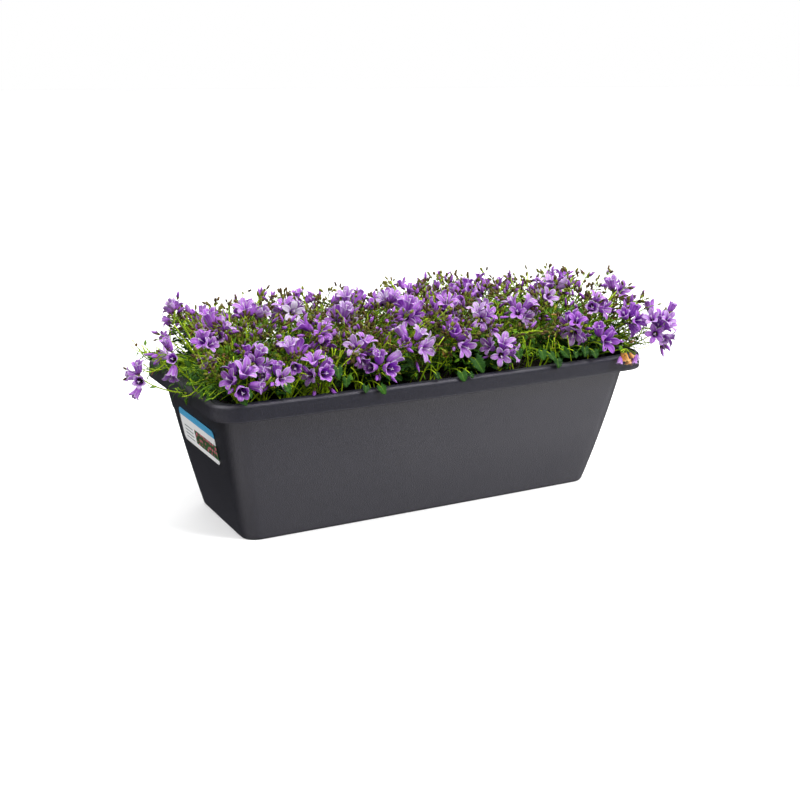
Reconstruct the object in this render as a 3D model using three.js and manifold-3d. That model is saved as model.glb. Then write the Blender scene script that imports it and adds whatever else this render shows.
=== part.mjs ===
// A plastic window box filled with soil and planted with four bellflowers.
// Millimetres, +Z up. The origin is the centre of the box's base, on the surface it stands on.
// The long side runs along X and the front faces -Y.

import * as THREE from 'three';
import { mergeVertices } from 'three/addons/utils/BufferGeometryUtils.js';
import Module from 'manifold-3d';

const wasm = await Module();
wasm.setup();

// ---------- driving dimensions: the box ----------

const BASE = { length: 416, depth: 142, radius: 18, bow: 0.5 };
const WALL_TOP = { length: 472, depth: 211, radius: 24, bow: 4 };
const RIM = { length: 500, depth: 241, radius: 29, bow: 4.5 };
const RIM_FOOT = 139.4; // height of the skirt's lower edge
const HEIGHT = 154.3; // height of the rim
const WALL = 3; // thickness of the walls, the ledge and the skirt
const BULGE = 0.2; // how far the walls swell between the base and the rim
const REAR_STEP = 3.5; // the rear wall stands this much further out above its step
const REAR_STEP_HEIGHT = 105;
const BASE_EDGE = 2; // rounding of the base's lower edge
const WALL_STATIONS = [25, 50, 78, REAR_STEP_HEIGHT, REAR_STEP_HEIGHT + 1.5, 124]; // heights of its facets
const DRAIN = { radius: 4, along: [-150, -50, 50, 150], across: 38 };
const GAP = 0.5; // clearance between pieces that touch

// ---------- driving dimensions: the soil and the label ----------

const SOIL = { edge: 142, middle: 145, lump: 1.6 };
const ROOT_HOLE = { radius: 10, depth: 16 };
const LABEL = { width: 108, height: 36, middle: 96, thickness: 0.7, corner: 5 };

// ---------- driving dimensions: the plants ----------

const PLANTS = [-180, -60, 60, 180]; // where the crowns stand along the box
const PLANT_HALF = 59.4; // each plant keeps to this half width, so neighbours don't cross
const MOUND = { foot: 150, rise: 60, reach: 105, roundness: 0.75 }; // surface the bunches grow on

// Rows of flower bunches over the mound: degrees around it, from the front rim over the top to the
// back rim, and the places along the box.
const BUNCH_ROWS = [
  { around: 15, along: [-222, -184, -142, -75, 65, 192, 272] },
  { around: 31, along: [-204, -163, -92, -34, 14, 166, 238] },
  { around: 54, along: [-242, -124, 60, 108, 204] },
  { around: 71, along: [-221, -88, -14, 32, 152, 254] },
  { around: 90, along: [-172, -127, -60, -12, 86, 197] },
  { around: 112, along: [-238, -95, 40, 130, 246] },
  { around: 133, along: [-195, -140, -20, 84, 185] },
  { around: 158, along: [-228, -168, -98, -50, 38, 120, 222] },
];
const TRAILING_BUNCHES = [[-304, -42, 178], [-276, -58, 197]];
const WILTED_BUNCH = [222, -121, 163];

// One bloom: a five-lobed bell that grows from one face of the bunch's small twelve-faced hub.
const HUB_RADIUS = 5;
const BLOOM = { throat: 7, valley: 13.5, valleyRadius: 6.8, tip: 17.5, tipRadius: 12.4 };
const BLOOM_SIZES = [0.88, 1.12];
const NECKS = [1, 9]; // how far a bloom stands off its hub
const BLOOMS_WANTED = [3, 6]; // at least the first, and fewer than the second
const HUB_TRIALS = 12; // turns of the hub that are tried, to find the one with room for most blooms

const OPENING = { along: 232, across: 103 }; // half sizes of the opening between the ledges
const CROWN = { radius: 9.5, top: 162 }; // the woody root that stands in the soil
const CORE = { along: 45, across: 76, low: 151, middle: 155, high: 182, tuft: 8 }; // dense middle
const STEM = { radius: 1.3, steps: 3, reach: 24 };
const LEAF_LENGTHS = [14, 18];
const LEAF_DRAWN = 15.5; // the length of the leaf as it is drawn
const LEAF_STALK = 3; // how far a leaf's stalk reaches into what it grows from
const LEAVES_PER_CORE = 13;
const LEAVES_PER_STEM = 1;
const RIM_LEAVES = [-212, -108, -88, -8, 12, 96, 117, 132, 160, 176]; // places along the front rim
const TWIGS_PER_PLANT = 5;
const TWIG = { radius: 0.8, bud: 8, budRadius: 1.7 };

// ---------- materials ----------

const finish = (color, roughness, metalness = 0) =>
  new THREE.MeshStandardMaterial({ color, roughness, metalness });
const anthracite = () => finish(0x46464a, 0.62);
const earth = () => finish(0x2a1d14, 0.95);
const paper = () => finish(0xe9ebe8, 0.5);
const leafGreen = () => finish(0x4c7a28, 0.6);
const lilac = () => finish(0x8f5fc0, 0.55);
const wiltedTan = () => finish(0xb0743c, 0.75);

// ---------- seeded random ----------

function makeRandom(seed) {
  let state = seed >>> 0;
  return () => {
    state = (state + 0x6d2b79f5) >>> 0;
    let t = state;
    t = Math.imul(t ^ (t >>> 15), t | 1);
    t ^= t + Math.imul(t ^ (t >>> 7), t | 61);
    return ((t ^ (t >>> 14)) >>> 0) / 4294967296;
  };
}

// ---------- solids ----------

const vec = (x, y, z) => new THREE.Vector3(x, y, z);
const mix = (a, b, t) => a + (b - a) * t;
const radians = THREE.MathUtils.degToRad;

function indexed(points, faces) {
  const geometry = new THREE.BufferGeometry();
  const numbers = points.flatMap((p) => p.toArray());
  geometry.setAttribute('position', new THREE.Float32BufferAttribute(numbers, 3));
  geometry.setIndex(faces.flat());
  return geometry;
}

function toSolid(geometry) {
  const bare = geometry.clone();
  bare.deleteAttribute('normal');
  bare.deleteAttribute('uv');
  const merged = mergeVertices(bare, 1e-4);
  return new wasm.Manifold(new wasm.Mesh({
    numProp: 3,
    vertProperties: new Float32Array(merged.attributes.position.array),
    triVerts: new Uint32Array(merged.index.array),
  }));
}

function toGeometry(solid) {
  const mesh = solid.getMesh();
  const geometry = new THREE.BufferGeometry();
  geometry.setAttribute('position', new THREE.BufferAttribute(new Float32Array(mesh.vertProperties), 3));
  geometry.setIndex(new THREE.BufferAttribute(new Uint32Array(mesh.triVerts), 1));
  return geometry;
}

function fuse(geometries) {
  let solid = toSolid(geometries[0]);
  for (const geometry of geometries.slice(1)) {
    solid = solid.add(toSolid(geometry));
  }
  return toGeometry(solid);
}

function piece(name, geometry, material) {
  const flat = geometry.index ? geometry.toNonIndexed() : geometry;
  flat.computeVertexNormals();
  const mesh = new THREE.Mesh(flat, material);
  mesh.name = name;
  return mesh;
}

// A closed skin through rings of points, each ring anticlockwise seen from above, with a fan to a
// point at either end.
function loft(rings, first, last) {
  const count = rings[0].length;
  const points = [...rings.flat(), first, last];
  const firstIndex = points.length - 2;
  const lastIndex = points.length - 1;
  const faces = [];
  for (let i = 0; i < count; i += 1) {
    const j = (i + 1) % count;
    faces.push([firstIndex, j, i]);
    for (let k = 0; k + 1 < rings.length; k += 1) {
      const a = k * count;
      const b = a + count;
      faces.push([a + i, a + j, b + j], [a + i, b + j, b + i]);
    }
    const top = (rings.length - 1) * count;
    faces.push([lastIndex, top + i, top + j]);
  }
  return indexed(points, faces);
}

// ---------- the box's outline ----------

// A rounded rectangle at height z. The long sides bow outwards, and the rear stands back by `rear`.
function outline(size, z, { inset = 0, rear = 0, corner = 4, long = 4, short = 1 } = {}) {
  const halfLength = size.length / 2 - inset;
  const halfDepth = size.depth / 2 - inset;
  const radius = Math.max(size.radius - inset, 2);
  const straightX = halfLength - radius;
  const straightY = halfDepth - radius;
  const ring = [];
  const corners = [[1, 1], [-1, 1], [-1, -1], [1, -1]];
  corners.forEach(([sx, sy], index) => {
    for (let k = 0; k <= corner; k += 1) {
      const angle = Math.PI / 2 * (index + k / corner);
      ring.push([sx * straightX + radius * Math.cos(angle), sy * straightY + radius * Math.sin(angle)]);
    }
    const alongLong = index % 2 === 0;
    const steps = alongLong ? long : short;
    for (let k = 1; k < steps; k += 1) {
      const t = 1 - 2 * k / steps;
      ring.push(alongLong ? [sx * straightX * t, sy * halfDepth] : [sx * halfLength, sy * straightY * t]);
    }
  });
  return ring.map(([x, y]) => {
    const bow = size.bow * Math.max(0, 1 - (x / straightX) ** 2) * Math.sign(y);
    return vec(x, y + bow + (y > 0 ? rear : 0), z);
  });
}

function wallSize(z) {
  const t = z / RIM_FOOT;
  const eased = t + BULGE * t * (1 - t);
  const along = (key) => mix(BASE[key], WALL_TOP[key], eased);
  return { length: along('length'), depth: along('depth'), radius: along('radius'), bow: along('bow') };
}

function wallRing(z, inset = 0, detail = {}) {
  const rear = z > REAR_STEP_HEIGHT ? REAR_STEP : 0;
  return outline(wallSize(z), z, { inset, rear, ...detail });
}

// ---------- window box ----------

function windowBox() {
  const under = HEIGHT - WALL;
  const rimRing = (z, inset) => outline(RIM, z, { inset, rear: REAR_STEP * 0.5 });
  const outside = [
    outline(BASE, 0, { inset: BASE_EDGE }),
    wallRing(BASE_EDGE),
    ...WALL_STATIONS.map((z) => wallRing(z)),
    wallRing(RIM_FOOT),
    wallRing(under),
  ];
  const skirt = [
    rimRing(under, WALL),
    rimRing(RIM_FOOT, WALL + 0.4),
    rimRing(RIM_FOOT, 0.8),
    rimRing(RIM_FOOT + 1, 0),
    rimRing(HEIGHT - 4.2, 0),
    rimRing(HEIGHT - 1.2, 1.2),
    rimRing(HEIGHT, 4.2),
  ];
  const ledge = [
    rimRing(HEIGHT, 5.6),
    rimRing(HEIGHT - 1, 6.4),
    rimRing(HEIGHT - 0.2, 7.2),
    rimRing(HEIGHT - 0.5, 13.2),
    wallRing(HEIGHT - 2.2, WALL - 0.6),
  ];
  const inside = [
    wallRing(RIM_FOOT, WALL),
    wallRing(REAR_STEP_HEIGHT - 1, WALL),
    wallRing(50, WALL),
    wallRing(WALL + 1, WALL + 0.5),
  ];
  const shell = loft([...outside, ...skirt, ...ledge, ...inside], vec(0, 0, 0), vec(0, 0, WALL + 1));
  let solid = toSolid(shell);
  for (const x of DRAIN.along) {
    for (const y of [-DRAIN.across, DRAIN.across]) {
      const hole = new THREE.CylinderGeometry(DRAIN.radius, DRAIN.radius, 4 * WALL, 8);
      hole.rotateX(Math.PI / 2);
      hole.translate(x, y, 0);
      solid = solid.subtract(toSolid(hole));
    }
  }
  return toGeometry(solid);
}

// ---------- soil ----------

function soilHeight(x, y) {
  const large = Math.sin(x * 0.11 + 1.3) * Math.cos(y * 0.13 - x * 0.05);
  const small = 0.5 * Math.sin(y * 0.31 + x * 0.23);
  const level = mix(SOIL.middle, SOIL.edge, Math.min(1, (Math.abs(y) / 100) ** 3));
  return level + SOIL.lump * (large + small);
}

function soil() {
  const detail = { corner: 2, long: 6, short: 1 };
  const clearance = WALL + GAP;
  const floor = WALL + 1 + GAP;
  const sides = [
    wallRing(floor, clearance + 0.5, detail),
    wallRing(50, clearance, detail),
    wallRing(REAR_STEP_HEIGHT - 1, clearance, detail),
    wallRing(SOIL.edge - 6, clearance + 0.5, detail),
  ];
  const edge = sides[sides.length - 1];
  const top = [1, 0.75, 0.45].map((scale) => edge.map((p) => {
    const x = p.x * scale;
    const y = p.y * scale;
    return vec(x, y, soilHeight(x, y) - (scale === 1 ? 3 : 0));
  }));
  let solid = toSolid(loft([...sides, ...top], vec(0, 0, floor), vec(0, 0, soilHeight(0, 0))));
  for (const x of PLANTS) {
    const hole = new THREE.CylinderGeometry(ROOT_HOLE.radius, ROOT_HOLE.radius, 40, 8);
    hole.rotateX(Math.PI / 2);
    hole.translate(x, 0, SOIL.middle - ROOT_HOLE.depth + 20);
    solid = solid.subtract(toSolid(hole));
  }
  return toGeometry(solid);
}

// ---------- label ----------

// A plain rounded sticker that follows the left end wall between its facets.
function label() {
  const half = { y: LABEL.width / 2, z: LABEL.height / 2 };
  const wallAt = (z) => {
    const upper = WALL_STATIONS.findIndex((station) => station >= z);
    const [z0, z1] = [WALL_STATIONS[upper - 1], WALL_STATIONS[upper]];
    return mix(wallSize(z0).length / 2, wallSize(z1).length / 2, (z - z0) / (z1 - z0));
  };
  const rows = [
    [-half.z, half.y - LABEL.corner],
    [-half.z + LABEL.corner, half.y],
    [REAR_STEP_HEIGHT - LABEL.middle, half.y],
    [half.z - LABEL.corner, half.y],
    [half.z, half.y - LABEL.corner],
  ];
  const skin = (offset) => rows.flatMap(([dz, width]) => {
    const z = LABEL.middle + dz;
    const x = -wallAt(z) - offset;
    return [vec(x, -width, z), vec(x, width, z)];
  });
  const points = [...skin(GAP), ...skin(GAP + LABEL.thickness)];
  const outer = rows.length * 2;
  const faces = [];
  for (let row = 0; row + 1 < rows.length; row += 1) {
    const a = row * 2;
    faces.push([a, a + 3, a + 2], [a, a + 1, a + 3]);
    faces.push([outer + a, outer + a + 2, outer + a + 3], [outer + a, outer + a + 3, outer + a + 1]);
    faces.push([a, outer + a + 2, outer + a], [a, a + 2, outer + a + 2]);
    faces.push([a + 1, outer + a + 3, a + 3], [a + 1, outer + a + 1, outer + a + 3]);
  }
  const end = outer - 2;
  faces.push([0, outer + 1, 1], [0, outer, outer + 1]);
  faces.push([end, outer + end + 1, outer + end], [end, end + 1, outer + end + 1]);
  return indexed(points, faces);
}

// ---------- where things grow ----------

function moundPoint(along, around) {
  const angle = radians(around);
  const { foot, rise, reach, roundness } = MOUND;
  const across = -Math.sign(Math.cos(angle)) * reach * Math.abs(Math.cos(angle)) ** roundness;
  return vec(along, across, foot + rise * Math.sin(angle) ** roundness);
}

function outward(point) {
  const beyond = Math.max(0, Math.abs(point.x) - 190) * Math.sign(point.x);
  return vec(beyond * 0.9, point.y * 0.8, point.z - 138).normalize();
}

function randomDirection(random) {
  const z = mix(-1, 1, random());
  const angle = random() * 2 * Math.PI;
  const r = Math.sqrt(1 - z * z);
  return vec(r * Math.cos(angle), r * Math.sin(angle), z);
}

const onward = (start, direction, distance) => start.clone().addScaledVector(direction, distance);
const nearestPlant = (x) => PLANTS.reduce((a, b) => (Math.abs(b - x) < Math.abs(a - x) ? b : a));

// Room is kept by balls: two things are clear of each other where none of their balls meet.
const ball = (centre, radius) => ({ centre, radius });
const meet = (a, b) => a.centre.distanceTo(b.centre) < a.radius + b.radius + 0.4;
const cross = (balls, others) => balls.some((a) => others.some((b) => meet(a, b)));

function touchesRim({ centre, radius }) {
  const dx = Math.max(0, Math.abs(centre.x) - RIM.length / 2);
  const dy = Math.max(0, Math.abs(centre.y) - RIM.depth / 2 - RIM.bow);
  const dz = Math.max(0, centre.z - HEIGHT);
  return Math.hypot(dx, dy, dz) < radius + 0.6;
}

// Inside the opening, greenery may reach down to the soil.
function touchesBox(item) {
  const { centre, radius } = item;
  const inLength = Math.abs(centre.x) + radius < OPENING.along;
  const inDepth = Math.abs(centre.y) + radius < OPENING.across;
  return inLength && inDepth ? centre.z - radius < SOIL.middle + 3 * SOIL.lump : touchesRim(item);
}

// ---------- bunches of blooms ----------

// The hub's twelve faces: the direction of each, and the directions of its five corners in
// anticlockwise order seen from outside.
function hubFaces() {
  const golden = (1 + Math.sqrt(5)) / 2;
  const signs = [-1, 1];
  const turned = (x, y, z) => [vec(x, y, z), vec(y, z, x), vec(z, x, y)];
  const pairs = signs.flatMap((a) => signs.map((b) => [a, b]));
  const axes = pairs.flatMap(([a, b]) => turned(0, a, b * golden));
  const corners = pairs.flatMap(([a, b]) => [
    ...turned(0, b / golden, a * golden).map((p) => vec(p.y, p.x, p.z)),
    vec(a, b, -1),
    vec(a, b, 1),
  ]);
  return axes.map((axis) => {
    const direction = axis.normalize();
    const ranked = corners.map((corner) => corner.clone().normalize());
    ranked.sort((p, q) => q.dot(direction) - p.dot(direction));
    const across = vec(direction.z, direction.x, direction.y).cross(direction).normalize();
    const up = direction.clone().cross(across);
    const angle = (p) => Math.atan2(p.dot(up), p.dot(across));
    return { direction, corners: ranked.slice(0, 5).sort((p, q) => angle(p) - angle(q)) };
  });
}

const HUB = hubFaces();

// The frame of one bloom: its direction, and the directions of its lobes across it.
function bloomFrame(face, turn) {
  const direction = face.direction.clone().applyQuaternion(turn);
  const lobes = face.corners.map((corner) => {
    const p = corner.clone().applyQuaternion(turn);
    return p.addScaledVector(direction, -p.dot(direction)).normalize();
  });
  return { direction, lobes };
}

function bloomBalls(centre, { direction, lobes, size, neck }) {
  const foot = onward(centre, direction, neck);
  const balls = [
    ball(onward(centre, direction, 5 + neck / 2), 4),
    ball(onward(foot, direction, 11.5 * size), 7.2 * size),
  ];
  for (const lobe of lobes) {
    balls.push(ball(onward(onward(foot, direction, 15.8 * size), lobe, 8.6 * size), 4.6 * size));
  }
  return balls;
}

// The hub is tried in several turns, and the turn with room for most blooms is kept.
function growBunch(centre, random, taken) {
  const normal = outward(centre);
  const wanted = Math.floor(mix(...BLOOMS_WANTED, random()));
  let best = [];
  let bestTurn = null;
  for (let trial = 0; trial < HUB_TRIALS; trial += 1) {
    const turn = new THREE.Quaternion().setFromAxisAngle(randomDirection(random), random() * 2 * Math.PI);
    const blooms = HUB.map((face, index) => {
      const size = mix(...BLOOM_SIZES, random());
      return { index, size, neck: mix(...NECKS, random()), ...bloomFrame(face, turn) };
    });
    blooms.sort((p, q) => q.direction.dot(normal) - p.direction.dot(normal));
    const open = blooms.filter((bloom) => {
      bloom.balls = bloomBalls(centre, bloom);
      const facesOut = bloom.direction.dot(normal) > 0.05;
      return facesOut && !bloom.balls.some(touchesRim) && !cross(bloom.balls, taken);
    }).slice(0, wanted);
    if (open.length > best.length) {
      best = open;
      bestTurn = turn;
    }
  }
  return { centre, normal, turn: bestTurn, blooms: best };
}

function growBunches() {
  const random = makeRandom(2024);
  const places = [
    ...BUNCH_ROWS.flatMap(({ around, along }) => along.map((x) => moundPoint(x, around))),
    ...TRAILING_BUNCHES.map((place) => vec(...place)),
    vec(...WILTED_BUNCH),
  ];
  const hubs = places.map((centre) => ball(centre, HUB_RADIUS));
  const taken = [...hubs];
  return places.map((centre, index) => {
    const others = taken.filter((item) => item !== hubs[index] && item.centre.distanceTo(centre) < 60);
    const bunch = growBunch(centre, random, others);
    taken.push(...bunch.blooms.flatMap((bloom) => bloom.balls));
    return bunch;
  });
}

// A closed skin: the hub, with a five-lobed bell on each face that blooms.
function bunchGeometry({ centre, turn, blooms }) {
  const points = [];
  const faces = [];
  const index = new Map();
  const corner = (direction) => {
    const p = direction.clone().applyQuaternion(turn);
    const key = p.toArray().map((value) => value.toFixed(3).replace('-0.000', '0.000')).join();
    if (!index.has(key)) {
      index.set(key, points.push(onward(centre, p, HUB_RADIUS)) - 1);
    }
    return index.get(key);
  };
  const add = (bloom, along, direction, across) => {
    const middle = onward(centre, bloom.direction, bloom.neck + along * bloom.size);
    return points.push(onward(middle, direction, across * bloom.size)) - 1;
  };
  HUB.forEach((face, number) => {
    const base = face.corners.map(corner);
    const bloom = blooms.find((item) => item.index === number);
    if (!bloom) {
      faces.push([base[0], base[1], base[2]], [base[0], base[2], base[3]], [base[0], base[3], base[4]]);
      return;
    }
    const between = (k) => bloom.lobes[k].clone().add(bloom.lobes[(k + 1) % 5]).normalize();
    const tips = bloom.lobes.map((lobe) => add(bloom, BLOOM.tip, lobe, BLOOM.tipRadius));
    const valleys = bloom.lobes.map((_, k) => add(bloom, BLOOM.valley, between(k), BLOOM.valleyRadius));
    const throat = add(bloom, BLOOM.throat, bloom.lobes[0], 0);
    for (let k = 0; k < 5; k += 1) {
      const next = (k + 1) % 5;
      const before = (k + 4) % 5;
      faces.push([base[k], base[next], valleys[k]]);
      faces.push([base[k], valleys[k], tips[k]], [base[k], tips[k], valleys[before]]);
      faces.push([throat, tips[k], valleys[k]], [throat, valleys[k], tips[next]]);
    }
  });
  return indexed(points, faces);
}

// ---------- greenery ----------

// A toothed heart-shaped leaf along +X: a flat outline between a raised and a lowered middle, with a
// stalk that sinks into what it grows from.
function leafGeometry(length) {
  const side = [[0.6, 0.9, 0], [-1, 4.6, 0.6], [3.6, 7.4, 1.2], [6.2, 5.6, 0.8], [9.6, 5.3, 0.9]];
  const rim = [
    [-LEAF_STALK, 0, 0],
    ...side.map(([x, y, z]) => [x, -y, z]),
    [LEAF_DRAWN, 0, -1.2],
    ...[...side].reverse(),
  ];
  const points = [...rim.map((p) => vec(...p)), vec(6, 0, 1), vec(6, 0, -0.8)];
  const top = rim.length;
  const faces = rim.flatMap((_, k) => {
    const next = (k + 1) % rim.length;
    return [[top, k, next], [top + 1, next, k]];
  });
  const scale = length / LEAF_DRAWN;
  return indexed(points.map((p) => p.multiplyScalar(scale)), faces);
}

// The frame of a leaf: its length runs along `direction`, and its upper side faces `face`.
function leafFrame(root, direction, face, length) {
  const side = face.clone().cross(direction).normalize();
  return { root, direction, side, up: direction.clone().cross(side), scale: length / LEAF_DRAWN };
}

function leafBalls({ root, direction, side, scale }) {
  const places = [[1.5, 0, 2.2], [5.5, 0, 3], [13, 0, 2.9]];
  for (const sign of [-1, 1]) {
    places.push([1, 3.8 * sign, 2.3], [4.5, 5 * sign, 2.8], [9, 3 * sign, 2.9]);
  }
  return places.map(([along, across, radius]) =>
    ball(onward(onward(root, direction, along * scale), side, across * scale), radius * scale));
}

function placedLeaf({ root, direction, side, up, scale }) {
  const geometry = leafGeometry(LEAF_DRAWN * scale);
  geometry.applyMatrix4(new THREE.Matrix4().makeBasis(direction, side, up).setPosition(root));
  return geometry;
}

// A thin three-sided stalk along a curve.
function stalk(curve, radius, steps) {
  const section = new THREE.Shape();
  for (let k = 0; k < 3; k += 1) {
    const angle = 2 * Math.PI * k / 3;
    const draw = k === 0 ? 'moveTo' : 'lineTo';
    section[draw](radius * Math.cos(angle), radius * Math.sin(angle));
  }
  return new THREE.ExtrudeGeometry(section, { steps, extrudePath: curve, bevelEnabled: false });
}

// A point on the stalk itself, which runs straight between the curve's evenly spaced points.
function onStalk(curve, steps, t) {
  const points = curve.getSpacedPoints(steps);
  const k = Math.min(Math.floor(t * steps), steps - 1);
  return points[k].clone().lerp(points[k + 1], t * steps - k);
}

function budGeometry(root, direction) {
  const { bud, budRadius } = TWIG;
  const across = vec(direction.y, direction.z, direction.x).cross(direction).normalize();
  const up = direction.clone().cross(across);
  const middle = onward(root, direction, bud * 0.4);
  const ring = [0, 1, 2].map((k) => {
    const angle = 2 * Math.PI * k / 3;
    return onward(onward(middle, across, budRadius * Math.cos(angle)), up, budRadius * Math.sin(angle));
  });
  const points = [...ring, onward(root, direction, -1.5), onward(root, direction, bud)];
  const faces = [0, 1, 2].flatMap((k) => [[k, (k + 1) % 3, 4], [(k + 1) % 3, k, 3]]);
  return indexed(points, faces);
}

// The dense middle of a plant: a mound of leafy tufts, rounded like the one that the bunches grow on.
// It comes with the hollows between the tufts, where leaves can sit.
function growCore(plant, random) {
  const round = new THREE.IcosahedronGeometry(1, 1);
  round.deleteAttribute('normal');
  round.deleteAttribute('uv');
  const { index, attributes } = mergeVertices(round);
  const swell = (value) => Math.sign(value) * Math.abs(value) ** MOUND.roundness;
  const points = Array.from({ length: attributes.position.count }, (_, i) => {
    const p = vec(0, 0, 0).fromBufferAttribute(attributes.position, i);
    const height = p.z > 0 ? CORE.high - CORE.middle : CORE.middle - CORE.low;
    return vec(plant + swell(p.x) * CORE.along, swell(p.y) * CORE.across, CORE.middle + swell(p.z) * height);
  });
  const out = (p) => vec((p.x - plant) / CORE.along, p.y / CORE.across, (p.z - CORE.low) / 40).normalize();
  const seats = points.filter((p) => p.z > CORE.middle + 2).map((p) => ({ root: p.clone(), out: out(p) }));
  const faces = [];
  for (let i = 0; i < index.count; i += 3) {
    const [a, b, c] = [index.getX(i), index.getX(i + 1), index.getX(i + 2)];
    const middle = vec(0, 0, 0).add(points[a]).add(points[b]).add(points[c]).divideScalar(3);
    if (middle.z < CORE.middle) {
      faces.push([a, b, c]);
    } else {
      const tuft = onward(middle, out(middle), CORE.tuft * mix(0.7, 1.2, random()));
      const top = points.push(tuft.addScaledVector(randomDirection(random), CORE.tuft * 0.4)) - 1;
      faces.push([a, b, top], [b, c, top], [c, a, top]);
    }
  }
  return { geometry: indexed(points, faces), seats };
}

function crownGeometry(plant) {
  const foot = SOIL.middle - ROOT_HOLE.depth + GAP;
  const geometry = new THREE.CylinderGeometry(CROWN.radius, CROWN.radius, CROWN.top - foot, 8);
  geometry.rotateX(Math.PI / 2);
  geometry.translate(plant, 0, (CROWN.top + foot) / 2);
  return geometry;
}

// The point well inside a plant's core that is nearest to a place.
function insideCore(plant, x, y) {
  const along = THREE.MathUtils.clamp(x - plant, -CORE.along / 2, CORE.along / 2);
  const across = THREE.MathUtils.clamp(y, -CORE.across / 2, CORE.across / 2);
  return vec(plant + along, across, CORE.middle + 6);
}

function stemCurve(plant, { centre, normal }) {
  const end = onward(centre, normal, -HUB_RADIUS - GAP);
  const start = insideCore(plant, end.x, end.y);
  const bend = onward(end, normal, -STEM.reach);
  const overEnd = Math.max(0, Math.abs(end.x) - RIM.length / 2);
  bend.z -= Math.min(12, overEnd * 0.4);
  return new THREE.QuadraticBezierCurve3(start, bend, end);
}

function growPlant(plant, index, bunches, obstacles) {
  const random = makeRandom(310 + index);
  const first = index === 0 ? -Infinity : plant - PLANT_HALF;
  const last = index === PLANTS.length - 1 ? Infinity : plant + PLANT_HALF;
  const core = growCore(plant, random);
  const parts = [core.geometry, crownGeometry(plant)];
  const stalks = []; // room that is taken by stems and twigs
  const leaves = []; // and by leaves

  const own = ({ centre, radius }) => centre.x - radius > first && centre.x + radius < last;
  const clear = (balls) => balls.every((item) => own(item) && !touchesBox(item)) && !cross(balls, obstacles);
  const until = (count, tries, attempt) => {
    for (let made = 0, tried = 0; made < count && tried < tries; tried += 1) {
      made += attempt() ? 1 : 0;
    }
  };
  const addStalk = (curve, radius, steps) => {
    parts.push(stalk(curve, radius, steps));
    stalks.push(...curve.getPoints(8).map((p) => ball(p, radius)));
  };
  const tryLeaf = (root, direction, out) => {
    const length = mix(...LEAF_LENGTHS, random());
    const face = out.clone().addScaledVector(randomDirection(random), 0.5);
    const leaf = leafFrame(root, direction, face, length);
    const balls = leafBalls(leaf);
    const blade = balls.slice(1);
    if (!clear(balls) || cross(blade, stalks) || cross(blade, leaves)) {
      return false;
    }
    leaves.push(...blade);
    parts.push(placedLeaf(leaf));
    return true;
  };

  const stems = bunches.map((bunch) => stemCurve(plant, bunch));
  stems.forEach((curve) => addStalk(curve, STEM.radius, STEM.steps));
  until(TWIGS_PER_PLANT, 600, () => {
    const tip = moundPoint(plant + mix(-PLANT_HALF, PLANT_HALF, random()), mix(30, 150, random()));
    const end = onward(tip, outward(tip), mix(4, 30, random()));
    const start = insideCore(plant, mix(plant, end.x, 0.5), end.y * 0.5);
    const bend = start.clone().lerp(end, 0.5).addScaledVector(randomDirection(random), 6);
    const curve = new THREE.QuadraticBezierCurve3(start, bend, end);
    const direction = curve.getTangent(1);
    const along = curve.getPoints(9).map((p) => ball(p, TWIG.radius + 0.6));
    along.push(ball(onward(end, direction, TWIG.bud / 2), TWIG.bud / 2));
    if (!clear(along)) {
      return false;
    }
    addStalk(curve, TWIG.radius, 2);
    parts.push(budGeometry(end, direction));
    return true;
  });
  for (const x of RIM_LEAVES.filter((place) => nearestPlant(place) === plant)) {
    const root = vec(x, -RIM.depth / 2 + 9, HEIGHT + 3.6);
    const direction = vec(0.1, -1, -0.04).normalize();
    const length = mix(...LEAF_LENGTHS, random()) + 1;
    const leaf = leafFrame(root, direction, vec(0, 0, 1), length);
    if (clear(leafBalls(leaf).map(({ centre }) => ball(centre, 2)))) {
      const start = insideCore(plant, x, root.y);
      const bend = vec(x, mix(start.y, root.y, 0.6), root.z + 3);
      addStalk(new THREE.QuadraticBezierCurve3(start, bend, root), TWIG.radius, 2);
      parts.push(placedLeaf(leaf));
      leaves.push(...leafBalls(leaf).slice(1));
    }
  }
  bunches.forEach((bunch, number) => {
    const curve = stems[number];
    until(LEAVES_PER_STEM, 30, () => {
      const t = mix(0.45, 0.95, random());
      const tangent = curve.getTangent(t);
      const direction = randomDirection(random).addScaledVector(bunch.normal, 0.5);
      direction.addScaledVector(tangent, -0.6 * direction.dot(tangent)).normalize();
      return tryLeaf(onward(onStalk(curve, STEM.steps, t), direction, 1.7), direction, bunch.normal);
    });
  });
  until(LEAVES_PER_CORE, 700, () => {
    const { root, out } = core.seats[Math.floor(random() * core.seats.length)];
    const direction = out.clone().addScaledVector(randomDirection(random), 0.8).normalize();
    return tryLeaf(onward(root, direction, 1), direction, out);
  });
  return fuse(parts);
}

// ---------- the whole ----------

const bunches = growBunches();
const planter = new THREE.Group();
planter.add(piece('window_box', windowBox(), anthracite()));
planter.add(piece('soil', soil(), earth()));
planter.add(piece('label', label(), paper()));

const obstacles = bunches.flatMap(({ centre, blooms }) =>
  [ball(centre, HUB_RADIUS), ...blooms.flatMap((bloom) => bloom.balls)]);
PLANTS.forEach((plant, index) => {
  const own = bunches.filter(({ centre }) => nearestPlant(centre.x) === plant);
  planter.add(piece(`plant_${index + 1}`, growPlant(plant, index, own, obstacles), leafGreen()));
});

bunches.forEach((bunch, index) => {
  const wilted = index === bunches.length - 1;
  const name = wilted ? 'wilted_bunch' : `bunch_${String(index + 1).padStart(2, '0')}`;
  planter.add(piece(name, bunchGeometry(bunch), wilted ? wiltedTan() : lilac()));
});

export default planter;
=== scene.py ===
"""A window box planted with bellflowers: its looks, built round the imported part.

Lengths are in millimetres until a piece is made, and metres from there on.
"""

import math
import random

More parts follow.
